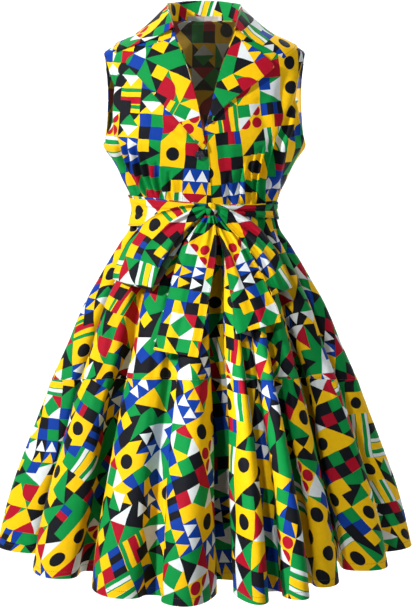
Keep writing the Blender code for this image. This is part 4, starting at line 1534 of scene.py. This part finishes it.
RIBBONS = {
    "loop_right": Ribbon(0.4, 8.0, True, (
        (0.0012, -0.3540, 0.014, 0.014, 90.0),
        (-0.0347, -0.3673, 0.021, 0.040, 118.0),
        (-0.0757, -0.3923, 0.028, 0.062, 128.0),
        (-0.1060, -0.4279, 0.032, 0.072, 146.0),
        (-0.1220, -0.4618, 0.032, 0.076, 160.0),
        (-0.1290, -0.4810, 0.028, 0.076, 166.0),
        (-0.1290, -0.4900, 0.018, 0.075, 168.0),
        (-0.1230, -0.4850, 0.009, 0.074, 166.0),
        (-0.1040, -0.4600, 0.006, 0.066, 156.0),
        (-0.0720, -0.4200, 0.006, 0.050, 140.0),
        (-0.0400, -0.3850, 0.006, 0.032, 124.0),
        (-0.0100, -0.3640, 0.007, 0.012, 112.0),
    )),
    "loop_left": Ribbon(1.9, -12.0, True, (
        (0.0226, -0.3540, 0.014, 0.014, 90.0),
        (0.0561, -0.3762, 0.022, 0.032, 54.0),
        (0.0882, -0.4048, 0.030, 0.040, 44.0),
        (0.1132, -0.4404, 0.034, 0.042, 30.0),
        (0.1292, -0.4760, 0.032, 0.042, 20.0),
        (0.1380, -0.4940, 0.027, 0.040, 16.0),
        (0.1390, -0.5010, 0.017, 0.042, 16.0),
        (0.1360, -0.4930, 0.009, 0.040, 18.0),
        (0.1180, -0.4582, 0.006, 0.038, 28.0),
        (0.0890, -0.4190, 0.006, 0.034, 42.0),
        (0.0597, -0.3880, 0.006, 0.026, 52.0),
        (0.0340, -0.3660, 0.007, 0.012, 62.0),
    )),
    "tail_right": Ribbon(3.1, 90.0, False, (
        (0.0085, -0.3660, 0.016, 0.014, 178.0),
        (0.0000, -0.3950, 0.017, 0.042, 174.0),
        (-0.0090, -0.4250, 0.016, 0.062, 172.0),
        (-0.0200, -0.4680, 0.013, 0.069, 172.0),
        (-0.0298, -0.5135, 0.010, 0.073, 173.0),
        (-0.0400, -0.5580, 0.009, 0.076, 173.0),
        (-0.0500, -0.6010, 0.008, 0.078, 172.0),
    )),
    "tail_left": Ribbon(4.4, 84.0, False, (
        (0.0185, -0.3658, 0.012, 0.009, 10.0),
        (0.0420, -0.4000, 0.013, 0.032, 18.0),
        (0.0560, -0.4300, 0.013, 0.044, 17.0),
        (0.0690, -0.4680, 0.012, 0.058, 15.0),
        (0.0800, -0.5050, 0.011, 0.068, 13.0),
        (0.0900, -0.5350, 0.010, 0.080, 12.0),
        (0.0950, -0.5600, 0.010, 0.082, 12.0),
    )),
}


@dataclass
class SashAndBow(Maker):
    """The tie sash, with its knot, two loops and two tails in front.

    Attributes:
        sash: The angle, and the heights of the band's top and bottom edges.
        sash_folds: How far the band stands off the form at even steps up it.
        knot_centre: The knot's centre.
        knot_radii: Half its width, depth and height.
        knot_wall: The knot's thickness.
        band_cut: Width of the band's cut.
        band_wall: The band's thickness, with what is folded under.
    """

    sash: Rows = (
        (-180.0, -0.334, -0.382),
        (-90.0, -0.330, -0.390),
        (-45.0, -0.334, -0.385),
        (-12.0, -0.342, -0.368),
        (10.0, -0.346, -0.366),
        (45.0, -0.346, -0.370),
        (90.0, -0.344, -0.377),
        (180.0, -0.334, -0.382),
    )
    sash_folds: tuple[float, ...] = (0.0042, 0.0056, 0.0046, 0.0058, 0.0044)
    knot_centre: tuple[float, float, float] = (0.0118, -0.1131, -0.3545)
    knot_radii: tuple[float, float, float] = (0.0107, 0.0088, 0.0118)
    knot_wall: float = 0.001
    band_cut: float = 0.050
    band_wall: float = 0.0014
    sash_creases: tuple[Crease, ...] = creases(
        (-0.150, -0.345, -0.015, -0.352, 0.0026, 0.0020),
        (-0.165, -0.362, -0.030, -0.358, 0.0028, 0.0022),
        (-0.120, -0.372, -0.010, -0.362, 0.0024, 0.0018),
        (-0.140, -0.352, -0.070, -0.366, 0.0024, 0.0014),
        (0.015, -0.353, 0.120, -0.352, 0.0024, 0.0018),
        (0.030, -0.360, 0.165, -0.362, 0.0026, 0.0020),
        (-0.340, -0.350, -0.190, -0.358, 0.0030, 0.0018),
        (-0.300, -0.368, -0.200, -0.364, 0.0028, 0.0018),
        (0.190, -0.352, 0.340, -0.358, 0.0030, 0.0018),
        (0.200, -0.368, 0.300, -0.364, 0.0028, 0.0016),
    )

    def band(self) -> Cloth:
        """The sash round the waist, its ends meeting at the back.

        Returns:
            The cloth.
        """
        rows = np.array(self.sash)
        angle = np.linspace(-180.0, 180.0, 361)[:, None]
        share = np.linspace(0.0, 1.0, 33)[None, :]
        top = np.interp(angle, rows[:, 0], rows[:, 1])
        bottom = np.interp(angle, rows[:, 0], rows[:, 2])
        folds = Table(tuple((i / 4, depth) for i, depth in enumerate(self.sash_folds)))
        drift = share + 0.05 * np.sin(np.radians(angle) * 3) * np.sin(math.pi * share)
        run = FORM.girth(angle, WAIST_Z + 0 * angle)
        points = FORM.point(angle, bottom + (top - bottom) * share, folds.at(1, drift))
        cloth = Cloth(points, joined(run, share * self.band_cut), self.band_wall)
        return cloth.crease(joined(run, points[..., 2]), self.sash_creases)

    def knot(self) -> Cloth:
        """The knot: the sash wrapped once round itself, with its folds drawn in.

        Returns:
            The cloth.
        """
        turn = np.linspace(0.0, 2 * math.pi, 97)[:, None]
        rise = np.linspace(0.02, math.pi - 0.02, 49)[None, :]
        pleat = 1 + 0.05 * np.cos(7 * turn + 0.8 * np.sin(2 * rise)) + 0.03 * np.sin(3 * turn)
        ring = np.sin(rise) ** 0.7 * pleat
        (x, y, z), (width, depth, height) = self.knot_centre, self.knot_radii
        points = joined(x + width * ring * np.cos(turn), y + depth * ring * np.sin(turn),
                        z - height * np.cos(rise))
        return Cloth(points, joined(turn * 0.0075, rise * 0.0118), self.knot_wall)

    def build(self) -> None:
        """Build the sash and the bow."""
        band = self.band()
        self.cloth("sash_band", band, WaxCotton("print_sash", 0.0, (0.019, 0.0)), ("sash",), "gathered",
                   ("front_left", "front_right", "back"),
                   [band.line(edge, 0.003) for edge in (Side.BOTTOM, Side.TOP)])
        self.cloth("sash_knot", self.knot(), WaxCotton("print_sash", 12.0, (0.0153, 0.0206)), ("bow_knot",),
                   "folded", ("sash",))
        for name, ribbon in RIBBONS.items():
            cloth = ribbon.cloth()
            # The dark stitches close to each ribbon's edges are partly stitching and partly a painted shade
            # line along those edges
            self.cloth(f"sash_{name}", cloth, WaxCotton("print_sash", ribbon.turn, (0.023, 0.031)),
                       (f"bow_{name}",), "folded" if ribbon.loop else "hung", ("sash_knot",),
                       [cloth.line(edge, EDGE_SHADE_STITCH_INSET) for edge in (Side.BOTTOM, Side.TOP)])
        LOG.info("sash: band, knot, two loops and two tails")


@dataclass
class Button(Maker):
    """The one button that shows, at the lapels' break.

    Attributes:
        x: Where it sits.
        z: Its height.
        profile: Radius and height of its rings, from the back to the front.
        segments: How many sides it has.
        hole_spread: How far each hole is from the middle, both ways.
        hole_radius: A hole's radius.
        hole_ends: The heights at which a hole's dark plug starts and ends.
    """

    x: float = -0.0085
    z: float = -0.2560
    profile: tuple[tuple[float, float], ...] = (
        (0.0000, 0.0000), (0.0074, 0.0000), (0.0082, 0.0004), (0.0086, 0.0012), (0.0086, 0.0019),
        (0.0082, 0.0026), (0.0074, 0.0029), (0.0066, 0.0027), (0.0060, 0.0021), (0.0052, 0.0018),
        (0.0000, 0.0017),
    )
    segments: int = 64
    hole_spread: float = 0.0017
    hole_radius: float = 0.0007
    hole_ends: tuple[float, float] = (0.0014, 0.0018)

    def seat(self) -> tuple[np.ndarray, np.ndarray, np.ndarray, np.ndarray]:
        """Where the button sits.

        Returns:
            Its centre and its three directions, the last one outwards.
        """
        angle = FORM.angle_at(self.x, self.z)
        centre = FORM.point(angle, self.z, LAP_LIFT + 4 * GAP) + (0.0, -GAP / 2, 0.0)
        base = FORM.point(angle, self.z, LAP_LIFT)
        across = FORM.point(angle + 1.0, self.z, LAP_LIFT) - base
        up = FORM.point(FORM.angle_at(self.x, self.z + 0.01), self.z + 0.01, LAP_LIFT) - base
        axis = np.cross(across, up)
        axis /= np.linalg.norm(axis)
        axis = axis if axis[1] < 0 else -axis
        across /= np.linalg.norm(across)
        return centre, across, np.cross(axis, across), axis

    def turned(self, profile: Sequence[tuple[float, float]], centre: np.ndarray, name: str,
               segments: int) -> bpy.types.Object:
        """A solid turned from a profile.

        Args:
            profile: Radius and height of each ring, the first and last on the axis.
            centre: Where it stands.
            name: The object's name.
            segments: How many sides it has.

        Returns:
            The new object.
        """
        _, across, up, axis = self.seat()
        points = [centre + axis * profile[0][1]]
        for radius, height in profile[1:-1]:
            for i in range(segments):
                turn = 2 * math.pi * i / segments
                spoke = across * math.cos(turn) + up * math.sin(turn)
                points.append(centre + axis * height + spoke * radius)
        points.append(centre + axis * profile[-1][1])
        faces, last, rings = [], len(points) - 1, len(profile) - 2
        for i in range(segments):
            k = (i + 1) % segments
            faces.append((0, 1 + k, 1 + i))
            for j in range(rings - 1):
                a, b = 1 + j * segments + i, 1 + j * segments + k
                faces.append((a, b, b + segments, a + segments))
            top = 1 + (rings - 1) * segments
            faces.append((top + i, top + k, last))
        return new_object(name, points, faces)

    def build(self) -> None:
        """Build the button, its holes and its thread."""
        centre, across, up, axis = self.seat()
        resin = PlainFinish("button_resin", (0.012, 0.018, 0.035), 0.22, 300.0, coat=0.4).material()
        disc = self.dress(self.turned(self.profile, centre, "button_disc", self.segments), resin)
        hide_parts("button")
        dark = PlainFinish("hole_shadow", (0.004, 0.004, 0.005), 0.8).material()
        low, high = self.hole_ends
        plug = ((0.0, low), (self.hole_radius, low), (self.hole_radius, high), (0.0, high))
        for i, (a, b) in enumerate(((1, 1), (-1, 1), (-1, -1), (1, -1))):
            place = centre + (across * a + up * b) * self.hole_spread
            self.dress(self.turned(plug, place, f"button_hole_{i}", 16), dark)
        lines = []
        for a in (1, -1):
            ends = [centre + across * a * self.hole_spread + up * b * self.hole_spread * 1.3 + axis * 0.0020
                    for b in (-1, 1)]
            lines.append((np.array(ends), np.array((axis, axis))))
        thread = Stitching(pitch=0.00205, length=0.0036, radius=0.0004).rows("button_thread", lines)
        self.dress(thread, PlainFinish("button_cotton", (0.03, 0.04, 0.07), 0.7).material())
        LOG.info("button: disc, holes and thread")


@dataclass(frozen=True)
class Studio:
    """A pale floor that curves up into a backdrop, soft lights and the camera.

    Attributes:
        distance: How far in front the camera stands.
        eye_z: The camera's height.
        lens: Its focal length, in millimetres.
        shift: How far its picture is shifted.
        floor_z: The floor's height.
        sky: The world's strength.
        spots: Name, place, aim, cone in degrees and power.
        soft_lights: Name, place, aim, size and power.
        front: How far the floor reaches towards the camera.
        bend: How far behind it starts to curve up.
        curve: The curve's radius.
        height: The backdrop's height.
        half_width: Half the floor's width.
    """

    distance: float = 2.6
    eye_z: float = -0.290
    lens: float = 80.8
    shift: tuple[float, float] = (0.0057, -0.2154)
    floor_z: float = -1.45
    sky: float = 0.11
    spots: tuple[tuple, ...] = (
        ("key", (-2.55, -2.2, 1.1), (0.0, 0.0, -0.5), 30.0, 690.0),
        ("bodice_key", (1.9, -2.9, 0.7), (0.06, 0.0, -0.13), 11.0, 110.0),
        ("skirt_key", (-0.9, -3.1, 0.8), (0.32, 0.0, -0.80), 12.0, 210.0),
    )
    soft_lights: tuple[tuple, ...] = (
        ("front", (1.6, -3.0, 0.9), (0.0, 0.0, -0.2), 1.0, 6.0),
        ("back", (1.9, 2.8, 1.3), (0.0, 0.0, -0.5), 1.0, 34.0),
        ("wash_left", (-3.2, 3.4, 3.0), (0.0, 7.2, -0.4), 1.6, 175.0),
        ("wash_right", (3.2, 3.4, 3.0), (0.0, 7.2, -0.4), 1.6, 175.0),
        ("wash_floor", (0.0, 2.6, 3.4), (0.0, 2.9, -1.45), 2.4, 150.0),
    )

    front: float = -7.0
    bend: float = 4.6
    curve: float = 2.8
    height: float = 9.0
    half_width: float = 9.0

    def build(self) -> None:
        """Set up the studio."""
        scene = bpy.context.scene
        camera = bpy.data.cameras.new("camera")
        camera.lens = self.lens
        camera.sensor_width = 36.0
        camera.shift_x, camera.shift_y = self.shift
        eye = bpy.data.objects.new("camera", camera)
        eye.location = (0.0, -self.distance, self.eye_z)
        eye.rotation_euler = (math.radians(90.0), 0.0, 0.0)
        scene.collection.objects.link(eye)
        scene.camera = eye
        scene.view_settings.view_transform = "Standard"
        self.sweep()
        for name, place, aim, spread, power in self.spots:
            spot = bpy.data.lights.new(name, "SPOT")
            spot.energy = power
            spot.spot_size = math.radians(spread)
            spot.spot_blend = 0.6
            spot.shadow_soft_size = 0.12
            self.hang(spot, place, aim)
        for name, place, aim, size, power in self.soft_lights:
            light = bpy.data.lights.new(name, "AREA")
            light.energy = power
            light.size = size
            self.hang(light, place, aim)
        world = bpy.data.worlds.new("studio")
        world.use_nodes = True
        backdrop = world.node_tree.nodes["Background"]
        Tree(world.node_tree).feed(backdrop, {0: (1.0, 1.0, 1.0, 1.0), 1: self.sky})
        scene.world = world
        LOG.info("studio: camera, lights and a sweep")

    def hang(self, light: bpy.types.Light, place: tuple[float, ...], aim: tuple[float, ...]) -> None:
        """Put a light in its place, turned towards what it lights.

        Args:
            light: The light.
            place: Where it stands.
            aim: What it points at.
        """
        lamp = bpy.data.objects.new(light.name, light)
        lamp.location = place
        lamp.rotation_euler = (Vector(aim) - Vector(place)).to_track_quat("-Z", "Y").to_euler()
        bpy.context.scene.collection.objects.link(lamp)

    def sweep(self) -> None:
        """The floor, curved up behind into a backdrop."""
        profile = [(self.front, 0.0), (self.bend, 0.0)]
        for i in range(1, 13):
            turn = math.pi / 2 * i / 12
            profile.append((self.bend + self.curve * math.sin(turn), self.curve * (1 - math.cos(turn))))
        profile.append((self.bend + self.curve, self.height))
        sides = (-self.half_width, self.half_width)
        vertices = [(x, y, self.floor_z + z) for y, z in profile for x in sides]
        faces = [(2 * i, 2 * i + 1, 2 * i + 3, 2 * i + 2) for i in range(len(profile) - 1)]
        floor = new_object("sweep", vertices, faces)
        paper = PlainFinish("paper", (0.95, 0.95, 0.95), 0.9, 400.0, spread=0.004)
        floor.data.materials.append(paper.material())


def main() -> None:
    """Build the dress and its studio."""
    logging.basicConfig(level=logging.INFO, format="%(message)s")
    bodice = Bodice()
    bodice.build()
    CollarSet().build(bodice)
    Skirt().build()
    SashAndBow().build()
    Button().build()
    Studio().build()


if __name__ == "__main__":
    main()
